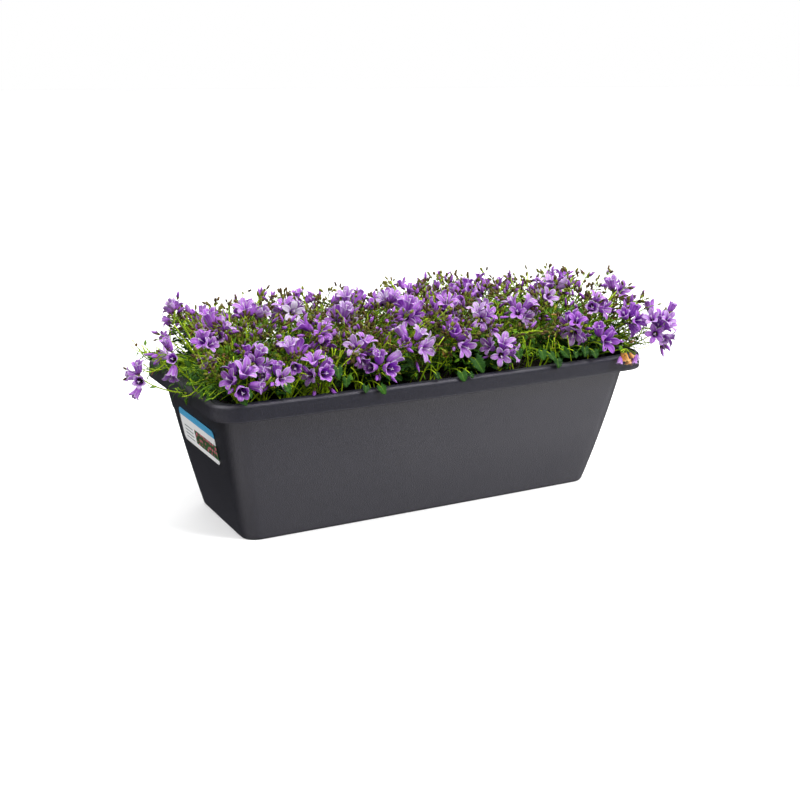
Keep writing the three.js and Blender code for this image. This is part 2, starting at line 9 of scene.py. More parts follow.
import bmesh
import bpy
import numpy as np
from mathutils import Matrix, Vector, kdtree


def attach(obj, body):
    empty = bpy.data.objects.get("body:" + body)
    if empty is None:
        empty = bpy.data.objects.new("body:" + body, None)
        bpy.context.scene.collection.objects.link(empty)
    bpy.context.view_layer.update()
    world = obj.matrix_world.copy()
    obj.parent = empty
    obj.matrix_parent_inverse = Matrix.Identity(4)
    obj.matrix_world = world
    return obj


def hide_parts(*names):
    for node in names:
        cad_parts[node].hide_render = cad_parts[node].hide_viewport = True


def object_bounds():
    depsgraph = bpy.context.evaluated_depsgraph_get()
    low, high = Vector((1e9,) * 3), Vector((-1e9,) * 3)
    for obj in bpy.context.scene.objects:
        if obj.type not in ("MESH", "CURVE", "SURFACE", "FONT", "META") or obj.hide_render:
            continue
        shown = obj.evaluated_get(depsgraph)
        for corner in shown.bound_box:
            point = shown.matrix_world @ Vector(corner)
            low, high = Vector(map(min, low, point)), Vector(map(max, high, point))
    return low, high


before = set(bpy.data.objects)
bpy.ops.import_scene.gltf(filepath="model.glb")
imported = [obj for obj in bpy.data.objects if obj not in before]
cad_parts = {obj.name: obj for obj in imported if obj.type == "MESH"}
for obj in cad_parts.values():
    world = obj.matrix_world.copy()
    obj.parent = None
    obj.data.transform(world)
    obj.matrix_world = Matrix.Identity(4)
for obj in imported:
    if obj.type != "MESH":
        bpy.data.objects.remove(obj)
CAD_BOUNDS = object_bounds()

MM = 0.001
BODY = "root"
TOP = CAD_BOUNDS[1][2] / MM

# ---------- driving values: the box ----------

BASE = {"length": 416, "depth": 142, "radius": 18, "bow": 0.5}
WALL_TOP = {"length": 472, "depth": 211, "radius": 24, "bow": 4}
RIM = {"length": 500, "depth": 241, "radius": 29, "bow": 4.5}
RIM_END = RIM["length"] / 2
RIM_FOOT = 139.4
HEIGHT = 154.3
SKIRT_FOOT = 138.3  # of the finished rim, which is a little taller than its solid
LIP = 155.3  # the top of the finished rim
WALL = 3
BULGE = 0.2
REAR = {"step": 3.5, "foot": 105, "rise": 1.5, "rim": 1.75}  # how the rear wall steps back
CORNER_STEPS, LONG_STEPS, SHORT_STEPS = 12, 20, 10

# The profile, as inset and height. A roll has its centre, half axes, angles in degrees and steps.
BASE_INSETS = (2.5, 2.0)
FOOT_ROLL = (2.0, 2.0, 2.0, 2.0, -80, -20, 4)
OUTER_HEIGHTS = (
    2.2, 5, 12, 25, 38, 50, 64, 78, 92, 104, 105, 105.4, 105.8, 106.2, 106.6, 108, 116, 124, 132, 139,
    HEIGHT - WALL,
)
SKIRT = (
    (WALL, HEIGHT - WALL), (WALL, SKIRT_FOOT + 0.6), (2.7, SKIRT_FOOT), (0.9, SKIRT_FOOT),
    (0.3, SKIRT_FOOT + 0.3), (0, SKIRT_FOOT + 1), (0, SKIRT_FOOT + 2.2), (0.2, SKIRT_FOOT + 4.5),
    (0.5, LIP - 9), (0.8, LIP - 6.5),
)
LIP_ROLL = (5.0, LIP - 4.4, 4.2, 4.4, 5, 90, 9)
GROOVE = ((5.6, LIP - 0.1), (6.1, LIP - 0.5), (6.5, LIP - 1.1), (6.9, LIP - 1.3), (7.4, LIP - 1.3))
LEDGE_ROLL = (11.4, LIP - 5.2, 4.8, 4.4, 45, 112, 9)
INNER_WALL = (
    (2.4, HEIGHT - 2.2), (3, HEIGHT - 4), (3, RIM_FOOT), (3, 120), (3, 104), (3, 78), (3, 50),
    (3, 20), (3, 8), (3.8, 4.2), (5, 4), (5.5, 4),
)
DRAIN = {"radius": 4, "along": (-150, -50, 50, 150), "across": 38, "reach": 20, "sides": 24}
SOIL_MIDDLE = 145
SOIL_EDGE = 142
SOIL_SIDES = ((4.2, 4.6), (3.6, 50), (3.6, 104), (4.1, 136))  # inset and height
CRUMBS = {"count": 2600, "along": (-226, 226), "across": (-98, 100), "sizes": (0.7, 1.0, 1.3, 2.2)}
CRUMB_SKEW = 0  # how far a crumb's corners stand off its axes
LABEL_ROWS, LABEL_COLUMNS = 18, 40
LABEL = {"width": 108, "height": 36, "middle": 96, "thickness": 0.7, "corner": 5, "gap": 0.45}
PRINTED = {  # in metres: up from the label's middle, and along its wall
    "band": 0.0105,
    "strip": (-0.0125, 0.003),
    "picture": 0.012,
    "text": (0.018, 0.044),
}

# ---------- driving values: the plants ----------

PLANTS = (-180, -60, 60, 180)
PLANT_HALF = 59.4
MOUND = {"foot": 150, "rise": 60, "reach": 105, "roundness": 0.75, "end": 190, "heart": 138}
CORE = {"along": 45, "across": 76}
OPENING = {"along": 228, "across": 99}
BLOOM_REACH = 17.5  # from a bloom's foot to the plane of its tips, at size 1
BLOOM_RADIUS = 12.4  # of its tips, at size 1
BLOOM_SCALE = {"front": 1.04, "rear": 0.79}
REAR_BUNCHES = 40  # bunches farther back than this have the rear's blooms
END = 225  # bunches past this are at an end of the box
TRAILING = RIM_END + 12  # and past this they trail beyond the rim
WILTED_BLOOMS = 10
COMPANIONS = (  # at the front, at the right end, and trailing there
    {"tries": 16, "most": 5, "out": 7, "apart": 19},
    {"tries": 24, "most": 7, "out": 7, "apart": 19},
    {"tries": 60, "most": 13, "out": 26, "apart": 14},
)
BELL = {  # each when shut and when open
    "mouth": (4.6, 3.8),
    "valley": (0.52, 0.45),
    "widening": (1.7, 3.2),
    "tip": (7.2, BLOOM_RADIUS),
    "bend_out": (0.1, 0.5),
    "bend_up": (0.50, 0.33),
}
CUP = ((0.5, -2.4), (1.3, -1.6), (1.65, -0.4), (1.5, 0.6), (0.9, 0.7))  # a calyx's radius and height
SEPAL_WIDTHS = ((0.0, 0.5), (0.3, 0.65), (0.65, 0.45), (1.0, 0.06))  # place along and half width
BUD = ((0, 0.35), (0.15, 0.8), (0.4, 1.0), (0.65, 0.85), (0.88, 0.42), (1, 0.08))  # place and radius
SMALL_BUD = ((0, 0.4, 0), (0.3, 1.0, 0), (0.6, 0.85, 0.1), (1, 0.45, 0.5))  # and how ragged
RIM_LEAVES = (  # along the box, height and length
    (-224, 160, 9), (-218, 166, 8), (-128, 176, 11), (-120, 166, 9), (-101, 157, 8), (-83, 155, 9),
    (8, 157, 10), (18, 157, 6), (29, 166, 16), (76, 172, 9), (106, 168, 10), (124, 158, 11),
    (118, 165, 9), (136, 166, 10), (148, 164, 8), (160, 166, 10), (173, 162, 9), (184, 168, 8),
    (-20, 160, 7), (-180, 166, 8),
)
END_LEAVES = (  # across the box, height and length
    (-80, 157, 12), (-66, 158, 11), (-52, 159, 9), (-34, 160, 10), (-8, 162, 9), (30, 160, 9),
    (52, 164, 10),
)
SPRAWL = 26  # how far the end plants' foliage reaches past their own share of the box
HELD_BACK = -12  # and the left one's, but for the low front
WITHERED = 1.6  # the tone of a dry leaf
SHOOTS = (250, 250, 250, 270)
SPRAYS = 115
BASE_LEAVES = (130, 190, 190, 190)
RUNNERS = (90, 18, 10, 10)
DRAPES = (34, 0, 0, 42)
DRAPE = {  # at the left and the right: where they start, how far out they end, and how high
    -1: {"places": ((-74, 60), (20, 98)), "reach": (250, 268), "height": (154, 184)},
    1: {"places": ((-84, 100), (-98, -50)), "reach": (252, 288), "height": (154, 198)},
}

# ---------- driving values: colours ----------

WHITE = (1, 1, 1, 1)
PLASTIC_TONES = (0.0045, 0.0050, 0.0105), (0.0075, 0.0080, 0.0150)
STYLE_TONES = (0.66, 0.58, 0.66), (0.50, 0.38, 0.56)
SOIL_PATCH = (0.012, 0.008, 0.005)
VEIN = (0.16, 0.30, 0.03)
PRINT_TONES = {
    "paper": (0.96, 0.96, 0.96), "band": (0.08, 0.42, 0.72), "dots": (0.80, 0.16, 0.26),
    "text": (0.22, 0.24, 0.25),
}
RAMPS = {  # places and colours
    "speck": ((0.35, (0.3, 0.3, 0.3)), (0.65, (1.7, 1.7, 1.7))),
    "soil": ((0.3, (0.004, 0.003, 0.002)), (0.55, (0.02, 0.011, 0.006)), (0.8, (0.07, 0.042, 0.022))),
    "picture": ((0.35, (0.008, 0.05, 0.012)), (0.65, (0.03, 0.14, 0.03))),
    "lilac": ((0.15, (0.15, 0.024, 0.32)), (0.55, (0.345, 0.12, 0.50)), (1.0, (0.48, 0.45, 0.53))),
    "wilted": ((0.15, (0.13, 0.04, 0.015)), (0.55, (0.44, 0.18, 0.035)), (1.0, (0.80, 0.50, 0.24))),
    "leaf": (
        (0.1, (0.004, 0.023, 0.005)), (0.5, (0.024, 0.086, 0.008)), (0.88, (0.115, 0.25, 0.012)),
        (1.0, (0.34, 0.16, 0.045)),
    ),
    "stem": ((0.1, (0.075, 0.055, 0.015)), (0.4, (0.14, 0.27, 0.014)), (0.85, (0.50, 0.70, 0.024))),
    "calyx": ((0.1, (0.026, 0.013, 0.008)), (0.5, (0.10, 0.062, 0.018)), (0.9, (0.17, 0.20, 0.02))),
}

# ---------- driving values: the studio ----------

CAMERA = {"yaw": 27.778, "pitch": 15.042, "distance": 1.317, "lens": 53.99}
CAMERA_AIM = (-0.0002, -0.0044, 0.1052)
KEY = {"place": (1.5, -2.4, 2.4), "size": (1.2, 1.2), "power": 138, "aim": (0, 0, 0.12)}
FLOOR = {"half": 40, "colour": (0.97, 0.97, 0.97, 1), "roughness": 0.9}
PATCH = 0.88  # the cosine at which a bright patch begins
WORLD = {
    "dim": 0.07,
    "bright": (  # direction, strength, and the cosine at which it begins
        ((0, 0, 1), 0.7, -0.15),
        ((0.45, -0.2, 0.87), 5.0, PATCH),
        ((0.85, -0.4, -0.35), 1.5, PATCH),
        ((0.75, -0.3, -0.6), 1.68, PATCH),
        ((0.1, -0.65, -0.75), 1.52, PATCH),
        ((-0.45, -0.55, -0.72), 1.0, PATCH),
        ((-0.65, -0.15, -0.75), 1.6, PATCH),
        ((-0.5, 0.05, 0.85), 2.2, PATCH),
        ((-0.7, 0.25, 0.66), 2.0, PATCH),
        ((-0.9, 0.1, 0.5), 2.6, PATCH),
        ((0.45, 0.8, 0.4), 3.0, PATCH),
    ),
}
# ---------- small helpers ----------


def vec(*values):
    return np.array(values, float)


def unit(v):
    return v / max(np.linalg.norm(v), 1e-9)


def mix(a, b, t):
    return a + (b - a) * t


def smooth(t):
    return t * t * (3 - 2 * t)


def any_direction(rng):
    z = rng.uniform(-1, 1)
    angle = rng.uniform(0, 2 * math.pi)
    r = math.sqrt(1 - z * z)
    return vec(r * math.cos(angle), r * math.sin(angle), z)


def across_of(direction):
    """Some unit vector square to a direction."""
    other = vec(0, 0, 1) if abs(direction[2]) < 0.9 else vec(1, 0, 0)
    return unit(np.cross(direction, other))


def bezier(start, bend, end, steps):
    t = np.linspace(0, 1, steps + 1)[:, None]
    return start * (1 - t) ** 2 + bend * 2 * t * (1 - t) + end * t**2


def frame_of(forward, up):
    """Columns: forward, the side, and up made square to both."""
    forward = unit(forward)
    side = unit(np.cross(up, forward))
    return np.column_stack([forward, side, np.cross(forward, side)])


def upright(direction, side):
    """Columns: a side, the next one round, and the direction itself."""
    return np.column_stack([side, np.cross(direction, side), direction])


def compass(angle):
    """The way outwards at an angle round +Z, and the way sideways to it."""
    outward = vec(math.cos(angle), math.sin(angle), 0)
    return outward, vec(-outward[1], outward[0], 0)


def ring_of(sides, radius, height, twist=0.0):
    """A ring of points round +Z."""
    angles = np.arange(sides) * 2 * math.pi / sides + twist
    heights = np.broadcast_to(height, sides)
    return np.column_stack([radius * np.cos(angles), radius * np.sin(angles), heights])


def new_object(name, data):
    obj = bpy.data.objects.new(name, data)
    bpy.context.scene.collection.objects.link(obj)
    return obj


class Skin:
    """The surfaces of one piece, with what its materials read of each point."""

    def __init__(self):
        self.points = []
        self.faces = []
        self.slots = []
        self.reads = []  # along, across and tone
        self.count = 0

    def add(self, points, faces, slot=0, along=0.0, across=0.0, tone=0.0):
        start = self.count
        self.points.append(points)
        self.faces.extend([[i + start for i in face] for face in faces])
        self.slots.extend([slot] * len(faces))
        reads = np.zeros((len(points), 3))
        reads[:, 0] = along
        reads[:, 1] = across
        reads[:, 2] = tone
        self.reads.append(reads)
        self.count += len(points)

    def piece(self, name, materials, slot, replaced):
        """Makes the piece, which stays inside the part's own box."""
        low, high = (np.array(corner) for corner in CAD_BOUNDS)
        points = np.clip(np.vstack(self.points) * MM, low, high)
        mesh = bpy.data.meshes.new(name)
        mesh.from_pydata(points.tolist(), [], self.faces)
        for material in materials:
            mesh.materials.append(material)
        mesh.polygons.foreach_set("material_index", self.slots)
        mesh.polygons.foreach_set("use_smooth", [True] * len(self.faces))
        reads = np.vstack(self.reads)
        for column, title in enumerate(("along", "across", "tone")):
            values = mesh.attributes.new(title, "FLOAT", "POINT")
            values.data.foreach_set("value", reads[:, column].astype(np.float32))
        mesh.update()
        obj = new_object(name, mesh)
        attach(obj, BODY)
        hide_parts(replaced)
        return obj


def closed_sheet(faces, count):
    """The faces of a thin closed skin: a sheet of `count` points, its back, and the rim between them."""
    uses = {}
    for face in faces:
        for a, b in zip(face, face[1:] + face[:1]):
            uses.setdefault(frozenset((a, b)), []).append((a, b))
    rim = [found[0] for found in uses.values() if len(found) == 1]
    back = [[i + count for i in reversed(face)] for face in faces]
    return faces + back + [[b, a, a + count, b + count] for a, b in rim]


def thick(points, faces, thickness):
    """The sheet's points moved half a thickness to either side."""
    quads = np.array(faces)
    first, second, third, fourth = (points[quads[:, column]] for column in range(4))
    spread = np.cross(third - first, fourth - second)
    normals = np.zeros_like(points)
    for column in range(4):
        np.add.at(normals, quads[:, column], spread)
    normals /= np.maximum(np.linalg.norm(normals, axis=1), 1e-9)[:, None]
    return np.vstack([points + normals * thickness / 2, points - normals * thickness / 2])


def add_tube(skin, path, radii, slot, tone, sides=5):
    """A tapering tube along a path, closed at its ends."""
    radii = np.broadcast_to(radii, len(path))
    tangents = np.gradient(path, axis=0)
    side = across_of(unit(tangents[0]))
    rings = []
    for point, tangent, radius in zip(path, tangents, radii):
        tangent = unit(tangent)
        side = unit(side - tangent * side.dot(tangent))
        up = np.cross(tangent, side)
        angles = np.arange(sides) * 2 * math.pi / sides
        rings.append(point + radius * (np.outer(np.cos(angles), side) + np.outer(np.sin(angles), up)))
    loft(skin, np.vstack(rings), sides, slot, np.repeat(np.linspace(0, 1, len(path)), sides), 0, tone)


def ring_faces(rings, sides):
    """The faces between rings of points."""
    faces = []
    for row in range(rings - 1):
        for i in range(sides):
            j = (i + 1) % sides
            faces.append([row * sides + i, row * sides + j, (row + 1) * sides + j, (row + 1) * sides + i])
    return faces


def grid_faces(rows, columns):
    """The faces of a sheet of points, row after row."""
    across = columns + 1
    corners = [r * across + c for r in range(rows) for c in range(columns)]
    return [[i, i + across, i + across + 1, i + 1] for i in corners]


def flipped(faces):
    return [[a, d, c, b] for a, b, c, d in faces]


def loft(skin, points, sides, slot=0, along=0.0, across=0.0, tone=0.0):
    """A closed form through rings of points."""
    rings = len(points) // sides
    faces = ring_faces(rings, sides)
    faces.append(list(range(sides))[::-1])
    faces.append([(rings - 1) * sides + i for i in range(sides)])
    skin.add(points, faces, slot, along, across, tone)


def add_sheet(skin, points, sheet, thickness, turn, foot, slot, tone):
    """A thin closed sheet, turned and put in its place."""
    faces, closed, along, across = sheet
    points = thick(points, faces, thickness) @ turn.T + foot
    skin.add(points, closed, slot, np.tile(along, 2), np.tile(across, 2), tone)


# ---------- materials ----------


class Nodes:
    """A small hand for building nodes."""

    def __init__(self, tree):
        self.tree = tree

    def new(self, kind, settings=None, **inputs):
        node = self.tree.nodes.new(kind)
        for key, value in (settings or {}).items():
            setattr(node, key, value)
        for key, value in inputs.items():
            self.put(node.inputs[key.replace("_", " ")], value)
        return node

    def put(self, socket, value):
        if isinstance(value, bpy.types.NodeSocket):
            self.tree.links.new(value, socket)
        else:
            socket.default_value = value

    def math(self, operation, *values):
        node = self.new("ShaderNodeMath", {"operation": operation})
        for socket, value in zip(node.inputs, values):
            self.put(socket, value)
        return node.outputs[0]

    def times(self, a, b, plus=None):
        if plus is None:
            return self.math("MULTIPLY", a, b)
        return self.math("MULTIPLY_ADD", a, b, plus)

    def between(self, value, low, high):
        return self.times(self.math("GREATER_THAN", value, low), self.math("LESS_THAN", value, high))

    def ridge(self, aside, sharpness):
        """1 in the middle of a lobe or a leaf, and soon less to either side."""
        return self.math("POWER", self.math("SUBTRACT", 1.0, aside), sharpness)

    def ramp(self, factor, kind):
        stops = RAMPS[kind]
        node = self.new("ShaderNodeValToRGB", Fac=factor)
        elements = node.color_ramp.elements
        while len(elements) < len(stops):
            elements.new(0.5)
        for element, (position, colour) in zip(elements, stops):
            element.position = position
            element.color = (*colour, 1)
        return node.outputs["Color"]

    def mixed(self, factor, a, b, blend="MIX"):
        node = self.new("ShaderNodeMix", {"data_type": "RGBA", "blend_type": blend}, Factor=factor)
        for socket, value in ((node.inputs[6], a), (node.inputs[7], b)):
            self.put(socket, (*value, 1) if isinstance(value, tuple) else value)
        return node.outputs[2]

    def place(self):
        return self.new("ShaderNodeTexCoord").outputs["Object"]

    def noise(self, scale, detail=3.0, roughness=0.55):
        fixed = {"Scale": scale, "Detail": detail, "Roughness": roughness}
        return self.new("ShaderNodeTexNoise", Vector=self.place(), **fixed).outputs["Fac"]


class Material(Nodes):
    """A material and its one shader."""

    def __init__(self, name):
        self.material = bpy.data.materials.new(name)
        self.material.use_nodes = True
        super().__init__(self.material.node_tree)
        self.shader = self.tree.nodes["Principled BSDF"]

    def read(self, title):
        return self.new("ShaderNodeAttribute", {"attribute_name": title}).outputs["Fac"]

    def finish(self, colour, roughness, height=None, strength=0.2, distance=0.0005, **fixed):
        self.put(self.shader.inputs["Base Color"], colour)
        self.put(self.shader.inputs["Roughness"], roughness)
        for key, value in fixed.items():
            self.shader.inputs[key.replace("_", " ")].default_value = value
        if height is not None:
            bump = self.new("ShaderNodeBump", Strength=strength, Distance=distance, Height=height)
            self.put(self.shader.inputs["Normal"], bump.outputs["Normal"])
        return self.material


def plastic_material():
    """Moulded anthracite plastic: a fine matt grain, a faint cloudiness, and a scuffed foot."""
    n = Material("moulded_plastic")
    grain = n.noise(1100)
    cloud = n.noise(9)
    colour = n.mixed(1.0, n.mixed(cloud, *PLASTIC_TONES), n.ramp(grain, "speck"), "MULTIPLY")
    height = n.new("ShaderNodeSeparateXYZ", Vector=n.place()).outputs["Z"]
    scuffed = n.math("MAXIMUM", n.times(height, -14.0, 1.0), 0.0)
    roughness = n.times(cloud, 0.12, n.times(scuffed, 0.14, 0.36))
    fixed = {"Specular_Tint": (0.97, 0.93, 1.0, 1), "Specular_IOR_Level": 0.8}
    return n.finish(colour, roughness, grain, 0.9, 0.0005, **fixed)


def soil_material():
    n = Material("potting_soil")
    crumbs = n.noise(420, 6, 0.7)
    colour = n.mixed(n.noise(60), n.ramp(crumbs, "soil"), SOIL_PATCH)
    return n.finish(colour, 0.95, crumbs, 0.9, 0.002)


def label_material():
    """A generic garden label: a blue band, a green strip with pink dots, and short grey rules."""
    n = Material("label_print")
    where = n.place()
    split = n.new("ShaderNodeSeparateXYZ", Vector=where)
    y, z = split.outputs["Y"], split.outputs["Z"]
    middle = LABEL["middle"] * MM
    band = n.math("GREATER_THAN", z, middle + PRINTED["band"])
    strip = n.between(z, *(middle + edge for edge in PRINTED["strip"]))
    picture = n.times(strip, n.math("LESS_THAN", y, PRINTED["picture"]))
    cells = n.new("ShaderNodeTexVoronoi", Vector=where, Scale=190.0, Randomness=0.7)
    dots = n.times(picture, n.math("LESS_THAN", cells.outputs["Distance"], 0.36))
    rules = n.between(n.math("FRACT", n.times(z, 240.0)), 0.0, 0.3)
    text = n.times(rules, n.times(strip, n.between(y, *PRINTED["text"])))
    colour = n.mixed(band, PRINT_TONES["paper"], PRINT_TONES["band"])
    colour = n.mixed(picture, colour, n.ramp(n.noise(300), "picture"))
    colour = n.mixed(dots, colour, PRINT_TONES["dots"])
    colour = n.mixed(text, colour, PRINT_TONES["text"])
    return n.finish(colour, 0.35, n.noise(200, 2), 0.05)


def petal_material(kind):
    """Darker down the tube, with a pale fold along each lobe, pale margins and fine veins."""
    n = Material(kind + "_petal")
    along, across, tone = n.read("along"), n.read("across"), n.read("tone")
    aside = n.math("ABSOLUTE", across)
    margin = n.math("POWER", aside, 5.0)
    light = n.times(n.ridge(aside, 9.0), 0.28, n.times(margin, 0.42))
    veins = n.math("SINE", n.times(across, 26.0))
    light = n.times(veins, 0.08, light)
    light = n.times(light, n.math("MINIMUM", n.times(along, 1.7), 1.0))
    body = n.times(tone, 0.42, n.times(along, 0.22))
    mottled = n.times(n.noise(160), 0.3, n.math("ADD", body, light))
    height = n.math("ADD", veins, n.noise(900, 2))
    thin = {"Subsurface_Weight": 0.5, "Subsurface_Radius": (0.8, 0.5, 1.0), "Subsurface_Scale": 0.0015}
    return n.finish(n.ramp(mottled, kind), 0.6, height, 0.25, 0.0002, Specular_IOR_Level=0.2, **thin)


def leaf_material():
    """Dark to yellow-green with paler veins, and brown where a leaf has dried."""
    n = Material("leaf")
    along, across, tone = n.read("along"), n.read("across"), n.read("tone")
    aside = n.math("ABSOLUTE", across)
    slant = n.math("SUBTRACT", along, n.times(aside, 0.35))
    ribs = n.ridge(n.math("ABSOLUTE", n.math("SINE", n.times(slant, 19.0))), 5.0)
    veins = n.math("MINIMUM", n.times(ribs, 0.5, n.ridge(aside, 14.0)), 1.0)
    # tone is partly painted shade: leaves low on their stems are darker
    shade = n.times(n.noise(90, 4), 0.35, n.times(tone, 0.75))
    colour = n.mixed(n.times(veins, 0.35), n.ramp(shade, "leaf"), VEIN)
    return n.finish(colour, 0.5, n.math("SUBTRACT", 1.0, veins), 0.35, 0.0004, Specular_IOR_Level=0.14)


def stem_material():
    """Yellow-green, browner on older stems, and darker towards each foot as painted shade deep in the
    plant.
    """
    n = Material("stem")
    # tone is the stem's age; the rise along the stem is painted shade, darker at the foot
    young_and_lit = n.times(n.read("tone"), n.times(n.read("along"), 0.3, 0.5))
    colour = n.ramp(n.times(n.noise(140), 0.3, young_and_lit), "stem")
    return n.finish(colour, 0.5, n.noise(1200, 2), 0.2, Specular_IOR_Level=0.14)


def bud_material():
    """Calyxes and unripe buds: olive green to a dark red-brown."""
    n = Material("calyx")
    shade = n.times(n.noise(260), 0.35, n.times(n.read("tone"), 0.75))
    return n.finish(n.ramp(shade, "calyx"), 0.6, n.noise(900, 2), 0.3, Specular_IOR_Level=0.25)


def style_material():
    n = Material("style")
    return n.finish(n.mixed(n.noise(400, 2), *STYLE_TONES), 0.5, n.noise(1500, 2), 0.1)


PLASTIC = plastic_material()
SOIL = soil_material()
PRINT = label_material()
LILAC = petal_material("lilac")
WILTED = petal_material("wilted")
LEAF = leaf_material()
STEM = stem_material()
CALYX = bud_material()
STYLE = style_material()
GREENS = (STEM, LEAF, CALYX, LILAC)
STEM_SLOT, LEAF_SLOT, CALYX_SLOT, PETAL_SLOT, STYLE_SLOT, FRESH_SLOT = range(6)

# ---------- the box ----------


def between_ends(steps):
    """Places along a straight side, between its two ends, from 1 down to -1."""
    return [1 - 2 * k / steps for k in range(1, steps)]


def outline(size, z, inset=0.0, rear=0.0):
    """A rounded rectangle at height z. The long sides bow outwards, and the rear stands back."""
    half_length = size["length"] / 2 - inset
    half_depth = size["depth"] / 2 - inset
    radius = max(size["radius"] - inset, 2)
    straight_x = half_length - radius
    straight_y = half_depth - radius
    ring = []
    for index, (sx, sy) in enumerate(((1, 1), (-1, 1), (-1, -1), (1, -1))):
        for k in range(CORNER_STEPS + 1):
            angle = math.pi / 2 * (index + k / CORNER_STEPS)
            x = sx * straight_x + radius * math.cos(angle)
            y = sy * straight_y + radius * math.sin(angle)
            ring.append((x, y))
        if index % 2 == 0:
            ring += [(sx * straight_x * t, sy * half_depth) for t in between_ends(LONG_STEPS)]
        else:
            ring += [(sx * half_length, sy * straight_y * t) for t in between_ends(SHORT_STEPS)]
    points = []
    for x, y in ring:
        bow = size["bow"] * max(0.0, 1 - (x / straight_x) ** 2) * math.copysign(1, y)
        points.append((x, y + bow + (rear if y > 0 else 0), z))
    return np.array(points)


def wall_size(z):
    t = z / RIM_FOOT
    eased = t + BULGE * t * (1 - t)
    return {key: mix(BASE[key], WALL_TOP[key], eased) for key in BASE}


def wall_ring(z, inset=0.0):
    rear = REAR["step"] * smooth(min(1, max(0, (z - REAR["foot"]) / REAR["rise"])))
    return outline(wall_size(z), z, inset, rear)


def arc(inset, height, across, up, first, last, steps):
    """Points of an elliptic arc as (inset, height), with its angles in degrees."""
    angles = np.radians(np.linspace(first, last, steps + 1))
    return [(inset - across * math.cos(a), height + up * math.sin(a)) for a in angles]


def window_box():
    rings = [outline(BASE, 0, inset) for inset in BASE_INSETS]
    rings += [outline(BASE, z, inset) for inset, z in arc(*FOOT_ROLL)]
    rings += [wall_ring(z) for z in OUTER_HEIGHTS]
    rim = (*SKIRT, *arc(*LIP_ROLL), *GROOVE, *arc(*LEDGE_ROLL))
    rings += [outline(RIM, z, inset, REAR["rim"]) for inset, z in rim]
    rings += [wall_ring(z, inset) for inset, z in INNER_WALL]
    skin = Skin()
    loft(skin, np.vstack(rings), len(rings[0]))
    box = skin.piece("window_box_shell", (PLASTIC,), "box_plastic", "window_box")
    for x in DRAIN["along"]:
        for y in (-DRAIN["across"], DRAIN["across"]):
            cut_drain(box, x * MM, y * MM)


def cut_drain(box, x, y):
    radius = DRAIN["radius"] * MM
    size = {"segments": DRAIN["sides"], "radius1": radius, "radius2": radius, "depth": DRAIN["reach"] * MM}
    bm = bmesh.new()
    bmesh.ops.create_cone(bm, cap_ends=True, **size)
    bmesh.ops.translate(bm, vec=(x, y, 0), verts=bm.verts)
    mesh = bpy.data.meshes.new("drain")
    bm.to_mesh(mesh)
    bm.free()
    cutter = new_object("drain", mesh)
    cut = box.modifiers.new("drain", "BOOLEAN")
    cut.operation = "DIFFERENCE"
    cut.object = cutter
    cut.solver = "EXACT"
    graph = bpy.context.evaluated_depsgraph_get()
    made = bpy.data.meshes.new_from_object(box.evaluated_get(graph))
    box.modifiers.clear()
    box.data = made
    bpy.data.objects.remove(cutter)


# ---------- soil ----------


def soil_height(x, y):
    large = np.sin(x * 0.11 + 1.3) * np.cos(y * 0.13 - x * 0.05)
    small = 0.5 * np.sin(y * 0.31 + x * 0.23)
    level = mix(SOIL_MIDDLE, SOIL_EDGE, np.minimum(1, (np.abs(y) / 100) ** 3))
    return level + 1.6 * (large + small)


def soil():
    rng = random.Random(7)
    rings = [wall_ring(z, inset) for inset, z in SOIL_SIDES]
    edge = rings[-1]
    for scale in np.linspace(1, 0.04, 30):
        ring = edge.copy()
        ring[:, :2] *= scale
        rough = np.array([rng.uniform(-0.9, 0.9) for _ in ring])
        ring[:, 2] = soil_height(ring[:, 0], ring[:, 1]) + rough - (3 if scale == 1 else 0)
        rings.append(ring)
    skin = Skin()
    loft(skin, np.vstack(rings), len(edge))
    for _ in range(CRUMBS["count"]):
        x, y = rng.uniform(*CRUMBS["along"]), rng.uniform(*CRUMBS["across"])
        centre = vec(x, y, soil_height(x, y) + rng.uniform(-0.4, 0.8))
        add_crumb(skin, centre, rng.choice(CRUMBS["sizes"]), rng)
    skin.piece("soil_surface", (SOIL,), "potting_soil", "soil")


def add_crumb(skin, centre, radius, rng):
    """Two pyramids foot to foot, with corners at uneven distances."""
    axes = (vec(1, 0, 0), vec(0, 1, 0), vec(-1, 0, 0), vec(0, -1, 0))
    corners = [any_direction(rng) * CRUMB_SKEW + axis for axis in axes]
    points = [corner * radius * rng.uniform(0.6, 1.2) for corner in corners]
    points += [vec(0, 0, 1) * radius * rng.uniform(0.5, 1), vec(0, 0, -1) * radius]
    turn = frame_of(any_direction(rng), any_direction(rng))
    faces = [[i, (i + 1) % 4, 4] for i in range(4)] + [[(i + 1) % 4, i, 5] for i in range(4)]
    skin.add(np.array(points) @ turn.T + centre, faces)


# ---------- label ----------


def label():
    rows, columns = LABEL_ROWS, LABEL_COLUMNS
    half_width, half_height = LABEL["width"] / 2, LABEL["height"] / 2
    corner = LABEL["corner"]
    points = []
    for r in range(rows + 1):
        dz = half_height * math.sin(math.pi * (r / rows - 0.5))
        into = max(0.0, abs(dz) - (half_height - corner))
        width = half_width - corner + math.sqrt(max(0.0, corner**2 - into**2))
        z = LABEL["middle"] + dz
        x = -wall_size(z)["length"] / 2 - LABEL["gap"] - LABEL["thickness"] / 2
        points += [vec(x, width * (1 - 2 * c / columns), z) for c in range(columns + 1)]
    faces = flipped(grid_faces(rows, columns))
    skin = Skin()
    skin.add(thick(np.array(points), faces, LABEL["thickness"]), closed_sheet(faces, len(points)))
    skin.piece("label_sticker", (PRINT,), "label_paper", "label")


# ---------- blooms ----------

